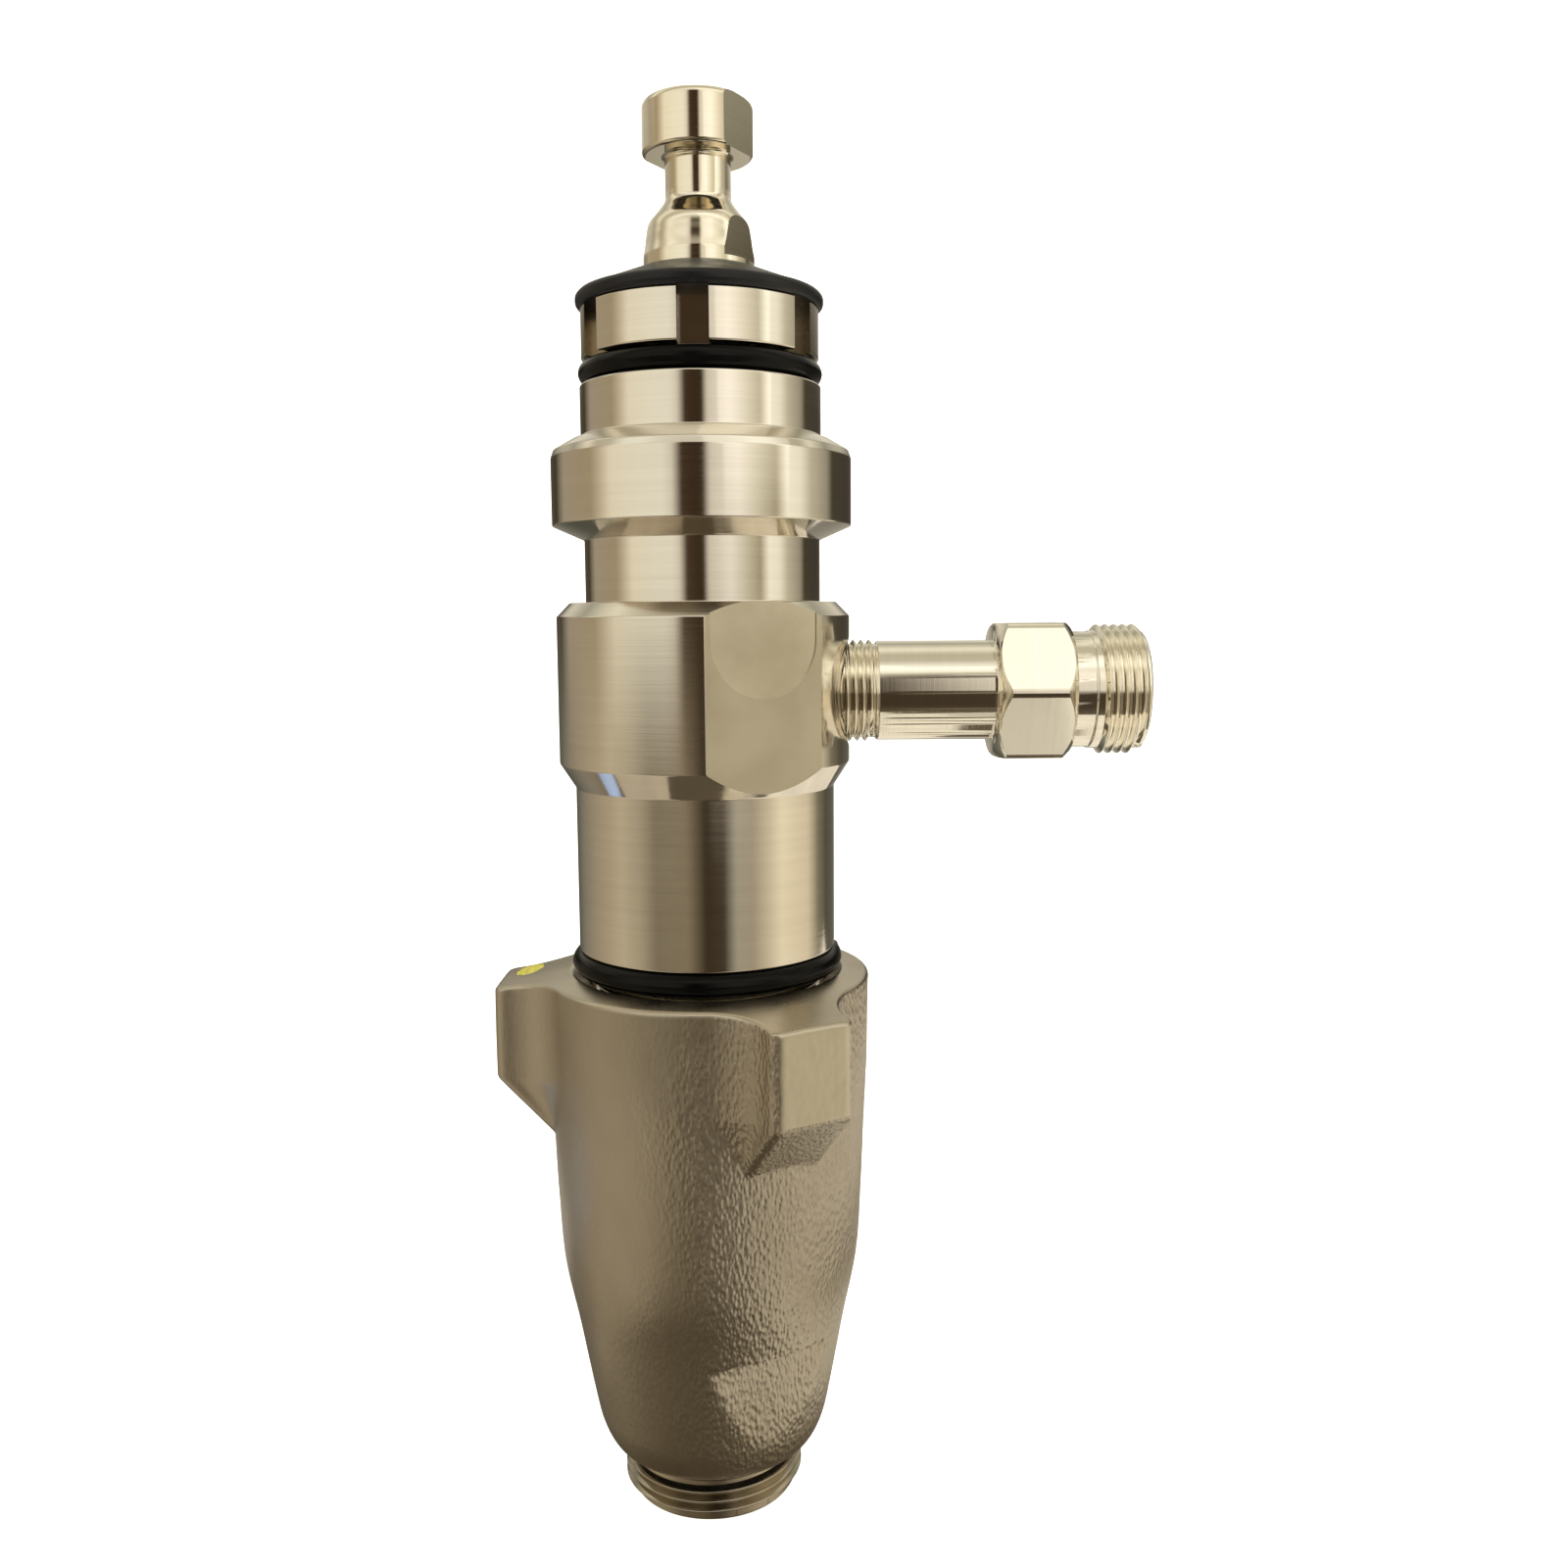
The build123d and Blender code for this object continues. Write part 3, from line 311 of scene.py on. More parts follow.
class Shader(NodeTree):
    """One material's node tree, with patterns that lie in the object's own coordinates."""

    def __init__(self, name, color, roughness, metallic=0.0):
        self.material = bpy.data.materials.new(name)
        self.material.use_nodes = True
        super().__init__(self.material.node_tree)
        self.surface = self.nodes["Principled BSDF"]
        self.surface.inputs["Base Color"].default_value = (*color, 1)
        self.surface.inputs["Roughness"].default_value = roughness
        self.surface.inputs["Metallic"].default_value = metallic
        self.bump_before = None

    def place(self, scale=(1, 1, 1)):
        """The object's own coordinates in metres, stretched."""
        coordinates = self.nodes.new("ShaderNodeTexCoord")
        mapping = self.nodes.new("ShaderNodeMapping")
        mapping.inputs["Scale"].default_value = scale
        self.links.new(coordinates.outputs["Object"], mapping.inputs["Vector"])
        return mapping.outputs["Vector"]

    def noise(self, scale, stretch=(1, 1, 1), detail=3.0, roughness=0.55):
        """Noise with `scale` lumps to a metre along the axes that aren't stretched."""
        texture = self.nodes.new("ShaderNodeTexNoise")
        texture.inputs["Scale"].default_value = scale
        texture.inputs["Detail"].default_value = detail
        texture.inputs["Roughness"].default_value = roughness
        self.links.new(self.place(stretch), texture.inputs["Vector"])
        return texture.outputs["Fac"]

    def cells(self, scale, smooth, stretch=(1, 1, 1)):
        """Rounded cells, `scale` to a metre, as on a sand-cast skin."""
        texture = self.nodes.new("ShaderNodeTexVoronoi")
        texture.feature = "SMOOTH_F1"
        texture.inputs["Scale"].default_value = scale
        texture.inputs["Smoothness"].default_value = smooth
        self.links.new(self.place(stretch), texture.inputs["Vector"])
        return texture.outputs["Distance"]

    def worn_edges(self, low, high):
        """1 on outward edges, 0 elsewhere."""
        geometry = self.nodes.new("ShaderNodeNewGeometry")
        return self.spread(geometry.outputs["Pointiness"], low, high)

    def axis_part(self, axis):
        """One of the object's own coordinates, in metres."""
        split = self.nodes.new("ShaderNodeSeparateXYZ")
        self.links.new(self.place(), split.inputs["Vector"])
        return split.outputs[axis]

    def set(self, socket, value):
        self.links.new(value, self.surface.inputs[socket])

    def color_between(self, pattern, low, high, dark, light):
        """Dark where the pattern is at low or less, light where it is at high or more."""
        self.set("Base Color", self.mix(self.spread(pattern, low, high), dark, light))

    def roughness_between(self, pattern, smooth, rough):
        """Smooth where the pattern is low, and rough where it is high."""
        self.set("Roughness", self.spread(pattern, NOISE_LOW, NOISE_HIGH, smooth, rough))

    def bump(self, height, strength, distance):
        """One layer of bump on top of the layers before it; the distance is in millimetres."""
        node = self.nodes.new("ShaderNodeBump")
        node.inputs["Strength"].default_value = strength
        node.inputs["Distance"].default_value = distance * MM
        self.links.new(height, node.inputs["Height"])
        if self.bump_before:
            self.links.new(self.bump_before, node.inputs["Normal"])
        self.bump_before = node.outputs["Normal"]
        self.links.new(self.bump_before, self.surface.inputs["Normal"])

    def turned_grain(self, axis, amount):
        """Anisotropy that runs round an axis, as turning leaves it."""
        tangent = self.nodes.new("ShaderNodeTangent")
        tangent.direction_type = "RADIAL"
        tangent.axis = axis
        self.links.new(tangent.outputs["Tangent"], self.surface.inputs["Tangent"])
        self.surface.inputs["Anisotropic"].default_value = amount
        self.surface.inputs["Anisotropic Rotation"].default_value = 0.25


def turned_metal(name, axis, light, dark, roughness, ring_depth, grain=0.55):
    """Turned stainless steel with fine rings round the axis, a few deeper ones and faint stains."""
    shader = Shader(name, light, roughness, metallic=1.0)
    along = (1, 0.012, 0.012) if axis == "X" else (0.012, 0.012, 1)
    rings = shader.noise(3600, along, detail=2.0)
    bands = shader.noise(520, along, detail=3.0, roughness=0.7)
    stains = shader.noise(38, (1, 1, 0.6) if axis == "Z" else (0.6, 1, 1), detail=4.0)
    banded = shader.calculate("MULTIPLY", bands, 0.45)
    stained = shader.calculate("MULTIPLY", stains, 0.55)
    shader.color_between(shader.calculate("ADD", banded, stained), 0.36, 0.64, dark, light)
    ring_part = shader.spread(rings, NOISE_LOW, NOISE_HIGH, -0.03, 0.03)
    stain_part = shader.spread(stains, NOISE_LOW, NOISE_HIGH, roughness - 0.03, roughness + 0.05)
    shader.set("Roughness", shader.calculate("ADD", ring_part, stain_part))
    shader.bump(rings, 0.5, ring_depth)
    shader.bump(bands, 0.35, ring_depth * 2)
    shader.turned_grain(axis, grain)
    return shader.material


def milled_metal(name, light, dark, roughness):
    """The wrench flats: a matt milled face with faint tool lines."""
    shader = Shader(name, light, roughness, metallic=1.0)
    lines = shader.noise(1500, (0.05, 0.05, 1), detail=2.0)
    haze = shader.noise(60, detail=4.0)
    shader.color_between(haze, 0.35, 0.65, dark, light)
    shader.roughness_between(haze, roughness - 0.04, roughness + 0.06)
    shader.bump(lines, 0.3, 0.01)
    return shader.material


def cast_metal():
    """Investment-cast stainless: nearly smooth on the left, with an orange-peel skin on the right."""
    shader = Shader("cast_stainless", (0.48, 0.42, 0.33), 0.40, metallic=1.0)
    upright = (1, 1, 0.5)
    peel = shader.cells(1400, 0.7, upright)
    grit = shader.noise(2300, upright, detail=3.0)
    clouds = shader.noise(46, upright, detail=5.0)
    side = shader.axis_part("X")
    wander = shader.spread(clouds, NOISE_LOW, NOISE_HIGH, -0.012, 0.012)
    drift = shader.calculate("ADD", side, wander)
    rough_side = shader.spread(drift, -0.012, 0.014, 0.12, 1.0, smooth=True)
    shader.color_between(clouds, 0.32, 0.68, (0.43, 0.375, 0.295), (0.53, 0.475, 0.385))
    shader.roughness_between(grit, 0.34, 0.44)
    shader.bump(shader.calculate("MULTIPLY", peel, rough_side), 1.0, 0.28)
    shader.bump(shader.calculate("MULTIPLY", grit, rough_side), 0.8, 0.12)
    shader.bump(clouds, 0.25, 0.3)
    return shader.material


def faced_metal():
    """The casting's machined top face and bores."""
    shader = Shader("faced_casting", (0.60, 0.54, 0.43), 0.27, metallic=1.0)
    haze = shader.noise(70, detail=4.0)
    fine = shader.noise(2400, detail=2.0)
    shader.color_between(haze, 0.35, 0.65, (0.50, 0.44, 0.35), (0.62, 0.56, 0.45))
    shader.roughness_between(haze, 0.24, 0.34)
    shader.bump(fine, 0.3, 0.012)
    return shader.material


def rubber():
    """Black rubber with a thin, uneven film of oil."""
    shader = Shader("black_rubber", (0.002, 0.002, 0.002), 0.22)
    fine = shader.noise(1400, detail=3.0)
    film = shader.noise(90, detail=3.0)
    shader.color_between(film, 0.4, 0.7, (0.0015, 0.0015, 0.0015), (0.004, 0.004, 0.004))
    shader.roughness_between(film, 0.10, 0.26)
    shader.bump(fine, 0.2, 0.02)
    shader.surface.inputs["Specular IOR Level"].default_value = 0.12
    return shader.material


def plastic(name, dark, light, roughness):
    """Moulded plastic with a fine spark-eroded skin and light handling wear on its edges."""
    shader = Shader(name, dark, roughness)
    skin = shader.noise(2600, detail=2.0)
    wear = shader.noise(160, detail=4.0)
    edge = shader.calculate("MULTIPLY", shader.worn_edges(0.5, 0.62), shader.spread(wear, 0.4, 0.7))
    shader.set("Base Color", shader.mix(edge, dark, light))
    shader.roughness_between(wear, roughness - 0.06, roughness + 0.08)
    shader.bump(skin, 0.25, 0.02)
    shader.surface.inputs["Specular IOR Level"].default_value = 0.3
    return shader.material


def carbide():
    """Ground tungsten carbide: dark, hard and finely grained."""
    shader = Shader("carbide", (0.22, 0.22, 0.23), 0.2, metallic=1.0)
    grains = shader.noise(3200, detail=2.0)
    clouds = shader.noise(120, detail=3.0)
    shader.color_between(clouds, 0.35, 0.65, (0.17, 0.17, 0.18), (0.28, 0.28, 0.285))
    shader.roughness_between(grains, 0.14, 0.26)
    shader.bump(grains, 0.15, 0.006)
    return shader.material


def leather():
    """Oiled packing leather with a short grain."""
    shader = Shader("packing_leather", (0.20, 0.11, 0.055), 0.62)
    grain = shader.cells(1500, 0.5)
    oil = shader.noise(120, detail=4.0)
    shader.color_between(oil, NOISE_LOW, NOISE_HIGH, (0.12, 0.062, 0.03), (0.27, 0.155, 0.08))
    shader.roughness_between(oil, 0.48, 0.72)
    shader.bump(grain, 0.6, 0.1)
    return shader.material


def paint_mark():
    """A dab of yellow inspection paint, thin where the brush left it."""
    shader = Shader("yellow_paint", (0.78, 0.70, 0.04), 0.38)
    brush = shader.noise(700, (1, 0.25, 1), detail=3.0)
    shader.color_between(brush, 0.35, 0.7, (0.62, 0.56, 0.03), (0.90, 0.84, 0.08))
    shader.roughness_between(brush, 0.3, 0.45)
    shader.bump(brush, 0.5, 0.08)
    return shader.material


TURNED = turned_metal("turned_stainless", "Z", (0.82, 0.77, 0.68), (0.74, 0.69, 0.60), 0.10, 0.005)
POLISHED = turned_metal("polished_rod", "Z", (0.90, 0.84, 0.71), (0.84, 0.77, 0.62), 0.08, 0.003, grain=0.4)
# The intake thread is the same turned steel with a darker base colour: painted shade and painted dark
# reflection from under the casting.
SHADE_DARKENED_THREAD_STEEL = turned_metal("intake_thread", "Z", (0.50, 0.45, 0.36), (0.38, 0.34, 0.27), 0.12, 0.004)
NIPPLE = turned_metal("turned_nipple", "X", (0.92, 0.88, 0.78), (0.87, 0.82, 0.71), 0.08, 0.004)
MILLED = milled_metal("milled_flat", (0.60, 0.55, 0.43), (0.52, 0.47, 0.36), 0.36)
MARK = milled_metal("cutter_mark", (0.72, 0.66, 0.54), (0.64, 0.58, 0.47), 0.26)
CAST = cast_metal()
FACED = faced_metal()
RUBBER = rubber()
CAP_PLASTIC = plastic("black_plastic", (0.006, 0.006, 0.007), (0.03, 0.03, 0.03), 0.34)
# Near-black plastic laid on the casting's bottom shoulder as painted shade: it stands for the shadow in the
# undercut above the thread, not for a real sealant.
UNDERCUT_SHADE_PLASTIC = plastic("painted_undercut_shade", (0.006, 0.005, 0.004), (0.03, 0.025, 0.02), 0.3)
CARBIDE = carbide()
LEATHER = leather()
WAXY_PLASTIC = plastic("packing_plastic", (0.62, 0.60, 0.52), (0.74, 0.72, 0.66), 0.34)
YELLOW = paint_mark()


# ---------------------------------------------------------------- pump cylinder

SPIGOT_BOTTOM = 95.0
BLOCK_FLAT_BOTTOM = 151.2
BLOCK_TOP = 188.9
FLANGE_BOTTOM = 201.3
FLANGE_TOP = 221.5
CYLINDER_TOP = 231.6
LOWER_RADIUS = 26.53
BLOCK_RADIUS = 29.7
GROOVE_RADIUS = 23.75
FLANGE_RADIUS = 30.1
COLLAR_RADIUS = 24.05
BLOCK_FLAT_DISTANCE = 27.02
BLOCK_FLAT_TURN = -62.0
MARK_RADIUS = 11.2
MARK_HEIGHT = 181.7
MARK_DEPTH = 0.22
MARK_STEPS = 40
PORT_STEPS = 96


def pump_cylinder():
    """Turned body with the outlet block, flange and collar, cut by two wrench flats and the port."""
    outer = [
        (23.7, SPIGOT_BOTTOM), (24.1, SPIGOT_BOTTOM + 0.4), (24.1, 110.5), (23.3, 111.1), (23.3, 118.0),
        (26.13, 118.0), (LOWER_RADIUS, 118.4), (LOWER_RADIUS, 151.7), (BLOCK_RADIUS, 156.7),
        (BLOCK_RADIUS, 186.1), (27.0, BLOCK_TOP), (GROOVE_RADIUS, BLOCK_TOP), (GROOVE_RADIUS, FLANGE_BOTTOM),
        (FLANGE_RADIUS, 204.1), (FLANGE_RADIUS, 217.2), (29.6, 218.7), (26.0, 220.8),
        (COLLAR_RADIUS, FLANGE_TOP), (COLLAR_RADIUS, 231.2), (23.65, CYLINDER_TOP),
    ]
    bore = [
        (20.85, CYLINDER_TOP), (20.25, 231.0), (20.25, 216.8), (17.0, 216.8), (17.0, 190.0), (12.0, 190.0),
        (12.0, 184.0), (16.5, 184.0), (16.5, 150.0), (18.75, 150.0), (18.75, SPIGOT_BOTTOM),
    ]
    piece = lathe("pump_cylinder", softened(outer + bore, 0.22), TURNED)
    flats = [
        block("flat", (BLOCK_FLAT_DISTANCE, -25, BLOCK_FLAT_BOTTOM), (40, 25, BLOCK_TOP + 0.3), turn, MILLED)
        for turn in (BLOCK_FLAT_TURN, BLOCK_FLAT_TURN + 180)
    ]
    port_outline = [(0, 10), (6, 10), (6, 17.45), (10.45, 17.45), (10.45, 40), (0, 40)]
    spot_outline = [(0, 28.3), (11.4, 28.3), (11.4, 40), (0, 40)]
    port_hole = lay_along_outlet(solid_lathe("port", port_outline, TURNED, PORT_STEPS))
    spot_face = lay_along_outlet(solid_lathe("spot", spot_outline, TURNED, PORT_STEPS))
    combine(piece, [*flats, port_hole, spot_face, cutter_mark()])
    return fit(piece, "cylinder", "turned_stainless", "pump_cylinder")


def cutter_mark():
    """The end mill's shallow round track at the top of the front flat."""
    outline = []
    for step in range(MARK_STEPS + 1):
        angle = math.pi + math.pi * step / MARK_STEPS
        outline.append((MARK_RADIUS * math.cos(angle), MARK_HEIGHT + MARK_RADIUS * math.sin(angle)))
    outline += [(MARK_RADIUS, BLOCK_TOP + 1), (-MARK_RADIUS, BLOCK_TOP + 1)]
    about = Matrix.Rotation(math.radians(BLOCK_FLAT_TURN), 3, "Z")
    vertices = []
    for distance in (BLOCK_FLAT_DISTANCE - MARK_DEPTH, BLOCK_FLAT_DISTANCE + 2):
        vertices += [tuple(about @ Vector((distance, y, z))) for y, z in outline]
    count = len(outline)
    faces = [tuple(reversed(range(count))), tuple(range(count, 2 * count))]
    for index in range(count):
        after = (index + 1) % count
        faces.append((index, after, count + after, count + index))
    return make_piece("mark", vertices, faces, MARK)


# ---------------------------------------------------------------- intake housing

HOUSING_TOP = 113.3
HOUSING_OPENING = 28.0
TOP_SLOPE = 0.158
EDGE_ROUNDING = 0.8
BODY_RADIUS = 33.6
LUG_TURNS = (-60.0, 60.0, 180.0)
LUG_REACH = 43.5
LUG_HALF_WIDTH = 8.8
LUG_CORNER = 2.2
LUG_FILLET = 7.5
LUG_FACE_BOTTOM = 91.8
LUG_SLOPE_FOOT = 80.4
LUG_SLOPE_RADIUS = 32.6
LUG_SLOPE = (LUG_REACH - LUG_SLOPE_RADIUS) / (LUG_FACE_BOTTOM - LUG_SLOPE_FOOT)
LUG_SLOPE_ROUNDING = 0.6
# Heights inside the lugs' upright part, where their plan is traced.
LUG_PLAN_HEIGHT = 105.0
RIM_PLAN_HEIGHT = 108.0
HOUSING_COLUMNS = 600
ROW_SPACING = 0.5
TOP_STEPS = 14
EDGE_STEPS = 6
# The casting's rows follow its sloping top face above this height, and are level below it.
LEVEL_HEIGHT = 96.0
# The low wrench flats, with the ledge above them and the hollow that leads up to it.
FLAT_TURNS = (-60.0, 120.0)
FLAT_DISTANCE = 24.9
FLAT_TOP = 38.8
FLAT_ROUNDING = 0.5
LEDGE_HEIGHT = 0.7
LEDGE_DEPTH = 5.0
LEDGE_LEAD = 2.0
LEDGE_LEAD_DEPTH = 0.55
# The cast skin, which fades out over a short distance at the top edge and at the nipple.
PEBBLE_HEIGHT = 0.032
SWELL_HEIGHT = 0.08
SKIN_FADE = 2.0
NIPPLE_SHOULDER = 10.0


def top_height(radius):
    return HOUSING_TOP - TOP_SLOPE * (radius - HOUSING_OPENING)


def smooth_least(a, b, rounding):
    """The smaller of two lengths, with a fillet of that size where they cross."""
    blend = np.clip(0.5 + 0.5 * (b - a) / rounding, 0, 1)
    return b * (1 - blend) + a * blend - rounding * blend * (1 - blend)


def rounded_union(a, b, radius):
    """Distance to two shapes joined with a circular fillet."""
    inside = np.maximum(np.minimum(a, b), radius)
    return inside - np.hypot(np.maximum(radius - a, 0), np.maximum(radius - b, 0))


def lug_reach(z):
    """How far the lugs stand out at a height: an upright pad above a slope back to the body."""
    slope = LUG_SLOPE_RADIUS + (z - LUG_SLOPE_FOOT) * LUG_SLOPE
    return smooth_least(np.full_like(z, LUG_REACH), slope, LUG_SLOPE_ROUNDING)


def housing_distance(r, theta, core, z):
    """Signed distance, in plan, to the body and its lugs at a height."""
    shape = r - core
    x, y = r * np.cos(theta), r * np.sin(theta)
    reach = lug_reach(z)
    fillet = np.clip(LUG_FILLET * (reach - core) / (LUG_REACH - core), 0.3, LUG_FILLET)
    for turn in LUG_TURNS:
        angle = math.radians(turn)
        out = x * math.cos(angle) + y * math.sin(angle)
        across = np.abs(y * math.cos(angle) - x * math.sin(angle))
        far = np.maximum(out - reach, -out) + LUG_CORNER
        wide = across - LUG_HALF_WIDTH + LUG_CORNER
        lug = np.hypot(np.maximum(far, 0), np.maximum(wide, 0)) + np.minimum(np.maximum(far, wide), 0)
        shape = rounded_union(shape, lug - LUG_CORNER, fillet)
    return shape


def housing_wall(theta, core, z, inset=0.0):
    """Radius of the outside at each azimuth of one height, moved inwards by the inset."""
    low, high = np.full_like(theta, 10.0), np.full_like(theta, 60.0)
    for _ in range(36):
        middle = (low + high) / 2
        outside = housing_distance(middle, theta, core, np.full_like(theta, z)) > -inset
        low, high = np.where(outside, low, middle), np.where(outside, middle, high)
    wall = (low + high) / 2
    for turn in FLAT_TURNS:
        away = np.cos(theta - math.radians(turn))
        lead = LEDGE_LEAD_DEPTH * np.clip((z - FLAT_TOP) / LEDGE_LEAD + 1, 0, 1) ** 2
        ledge = lead + LEDGE_DEPTH * np.clip((z - FLAT_TOP) / LEDGE_HEIGHT, 0, 1)
        flat = np.where(away > 0.3, (FLAT_DISTANCE + ledge) / np.maximum(away, 0.3), 90.0)
        if z <= FLAT_TOP + LEDGE_HEIGHT:
            wall = smooth_least(wall, flat, FLAT_ROUNDING)
    return wall


def housing_columns():
    """Azimuths spaced evenly along the outline at the lugs, so that their sides get enough faces."""
    fine = np.linspace(0, 2 * math.pi, 7201)
    wall = housing_wall(fine, BODY_RADIUS, LUG_PLAN_HEIGHT)
    x, y = wall * np.cos(fine), wall * np.sin(fine)
    along = np.concatenate([[0], np.cumsum(np.hypot(np.diff(x), np.diff(y)))])
    return np.interp(np.linspace(0, along[-1], HOUSING_COLUMNS, endpoint=False), along, fine)


def cast_skin(theta, radius, z):
    """How far the cast skin stands out: nearly smooth on the left, pebbled on the right."""
    heights = []
    for angle, r in zip(theta, radius):
        place = Vector((r * math.cos(angle), r * math.sin(angle), z * 0.5))
        pebbles = noise.noise(place * 0.9) + 0.6 * noise.noise(place * 1.5)
        swell = noise.noise(place * 0.11)
        side = min(1.0, max(0.0, (place.x + 6 + 7 * swell) / 16))
        heights.append(PEBBLE_HEIGHT * pebbles * (0.15 + 0.85 * side) + SWELL_HEIGHT * swell)
    return np.array(heights)


def on_lug_face(place):
    """True on the ground pads that face outwards from the lugs."""
    for turn in LUG_TURNS:
        angle = math.radians(turn)
        out = place.x * math.cos(angle) + place.y * math.sin(angle)
        if out > LUG_REACH - 0.3 and LUG_FACE_BOTTOM + 0.6 < place.z < top_height(LUG_REACH) - 0.3:
            return True
    return False


def intake_housing():
    """The casting with its lugs and wrench flats, as one closed grid round the axis."""
    theta = housing_columns()
    core = curve_through([
        (33.3, 94.0), (32.6, 79.0), (32.1, 66.0), (31.1, 52.0), (28.5, 38.7), (25.6, 23.0),
        (24.2, 16.5), (22.2, 12.1), (19.6, 10.2),
    ])
    upper = top_height(BODY_RADIUS) - EDGE_ROUNDING
    core = evenly([(BODY_RADIUS, upper)] + core, ROW_SPACING)
    rows = []
    bore = [
        (17.4, 0.0), (13.0, 0.0), (13.0, 22.0), (17.1, 22.0), (17.1, 54.0), (20.2, 54.0), (20.2, 90.0),
        (21.55, 90.0), (21.55, 95.0), (25.05, 95.0), (25.05, 111.7), (HOUSING_OPENING, HOUSING_TOP),
    ]
    for radius, z in softened(bore, 0.25, closed=False):
        rows.append((np.full_like(theta, radius), np.full_like(theta, z)))
    rim = housing_wall(theta, BODY_RADIUS, RIM_PLAN_HEIGHT, EDGE_ROUNDING)
    for step in range(1, TOP_STEPS + 1):
        radius = HOUSING_OPENING + (rim - HOUSING_OPENING) * step / TOP_STEPS
        rows.append((radius, top_height(radius)))
    for step in range(1, EDGE_STEPS):
        turn = math.pi / 2 * step / EDGE_STEPS
        inset = EDGE_ROUNDING * (1 - math.sin(turn))
        radius = housing_wall(theta, BODY_RADIUS, RIM_PLAN_HEIGHT, inset)
        rows.append((radius, top_height(radius) - EDGE_ROUNDING * (1 - math.cos(turn))))
    top_rows = len(rows)
    for radius, z in core:
        wall = housing_wall(theta, radius, z)
        share = max(0.0, (z - LEVEL_HEIGHT) / (upper - LEVEL_HEIGHT))
        drop = (top_height(wall) - top_height(BODY_RADIUS)) * share
        fade = min(1.0, (upper - z) / SKIN_FADE, (z - NIPPLE_SHOULDER) / SKIN_FADE)
        rows.append((wall + cast_skin(theta, wall, z) * max(0.0, fade), z + drop))
    wall_rows = len(rows)
    foot = [(17.0, NIPPLE_SHOULDER), (17.0, 9.0), (17.75, 8.7), (17.75, 0.55), (17.4, 0.1)]
    for radius, z in foot:
        rows.append((np.full_like(theta, radius), np.full_like(theta, z)))
    vertices = []
    for radius, z in rows:
        vertices += list(zip(radius * np.cos(theta), radius * np.sin(theta), z))
    faces = grid_faces(len(rows), HOUSING_COLUMNS, True)
    piece = make_piece("intake_housing", vertices, faces, CAST, sharp=38)
    # Slot 3 is painted shade: a near-black band on the bottom shoulder that stands for the undercut's
    # shadow.
    faced, milled, undercut_shade_slot = 1, 2, 3
    for material in (FACED, MILLED, UNDERCUT_SHADE_PLASTIC):
        piece.data.materials.append(material)
    for face in piece.data.polygons:
        row = face.index // HOUSING_COLUMNS
        if row < top_rows - 2 or row >= wall_rows:
            face.material_index = faced
        elif row >= wall_rows - 1:
            face.material_index = undercut_shade_slot
        elif on_lug_face(face.center / MM):
            face.material_index = milled
    fit(piece, "cylinder", "cast_stainless", "intake_housing")
    # The thread ridge takes the darker copy of turned steel, which is painted shade under the casting.
    ridge = thread_ridge("intake_thread", 19.05, 17.7, 2.117, 0.2, 8.9, SHADE_DARKENED_THREAD_STEEL)
    fit(ridge, "cylinder", "turned_stainless")
    return piece


def paint_dab():
    """A thin yellow dab on top of the left lug."""
    centre = Vector((-38.0, 3.6))
    count, rings = 48, 5
    vertices = []
    for level, lift in ((0, -0.05), (1, 0.10)):
        for ring in range(rings, 0, -1) if level else range(1, rings + 1):
            part = ring / rings
            for index in range(count):
                angle = 2 * math.pi * index / count
                ragged = 1 + 0.16 * noise.noise(Vector((math.cos(angle) * 2, math.sin(angle) * 2, 4.7)))
                x = centre.x + 2.7 * part * ragged * math.cos(angle) + 0.5 * math.sin(angle) * part
                y = centre.y + 4.4 * part * ragged * math.sin(angle)
                height = lift * (1 - part ** 6) if level else lift
                vertices.append((x, y, top_height(math.hypot(x, y)) + height))
    order = 2 * rings
    faces = grid_faces(order, count, False)
    faces.append(tuple(reversed(range(count))))
    faces.append(tuple((order - 1) * count + index for index in range(count)))
    piece = make_piece("paint_dab", vertices, faces, YELLOW, sharp=60)
    return fit(piece, "cylinder", "cast_stainless")


# ---------------------------------------------------------------- rod, nut, cap and seals

ROD_FLAT_TURN = -30.0
ROD_FLAT_DISTANCE = 9.5
SLOT_COUNT = 6
SLOT_FLOOR = 19.1
SLOT_HALF_WIDTH = 3.0
SEAL_STEPS = 40
SEAL_FLASH = 0.03


def displacement_rod():
    """Piston rod with its T head, two wrench flats and the socket for the piston valve."""
    socket = [
        (0, 121.8), (5.0, 118.8), (5.0, 115.8), (7.6, 115.8), (7.6, 105.0), (8.0, 105.0), (8.0, 96.0),
        (10.5, 96.0), (11.0, 96.5), (11.0, 256.0),
    ]
    shoulder = curve_through([
        (11.0, 256.4), (10.66, 258.2), (10.36, 260.4), (9.85, 262.7), (8.1, 264.9), (6.75, 266.8),
        (6.5, 268.4),
    ], 6)
    head = softened([
        (6.5, 269.0), (6.5, 274.9), (7.0, 275.4), (10.4, 275.4), (10.9, 275.9), (10.9, 284.6), (10.5, 285.4),
        (9.7, 285.8), (0, 285.8),
    ], 0.35, closed=False)
    piece = solid_lathe("displacement_rod", socket + shoulder + head, POLISHED)
    flats = [
        block("flat", (ROD_FLAT_DISTANCE, -12, 255.0), (14, 12, 290), turn, POLISHED)
        for turn in (ROD_FLAT_TURN, ROD_FLAT_TURN + 180)
    ]
    combine(piece, flats)
    return fit(piece, "rod", "polished_rod", "displacement_rod")


def nut_head_slots():
    low, high = (SLOT_FLOOR, -SLOT_HALF_WIDTH, 230.0), (30, SLOT_HALF_WIDTH, 260.0)
    turns = [-90 + 360 / SLOT_COUNT * number for number in range(SLOT_COUNT)]
    return [block("slot", low, high, turn, TURNED) for turn in turns]


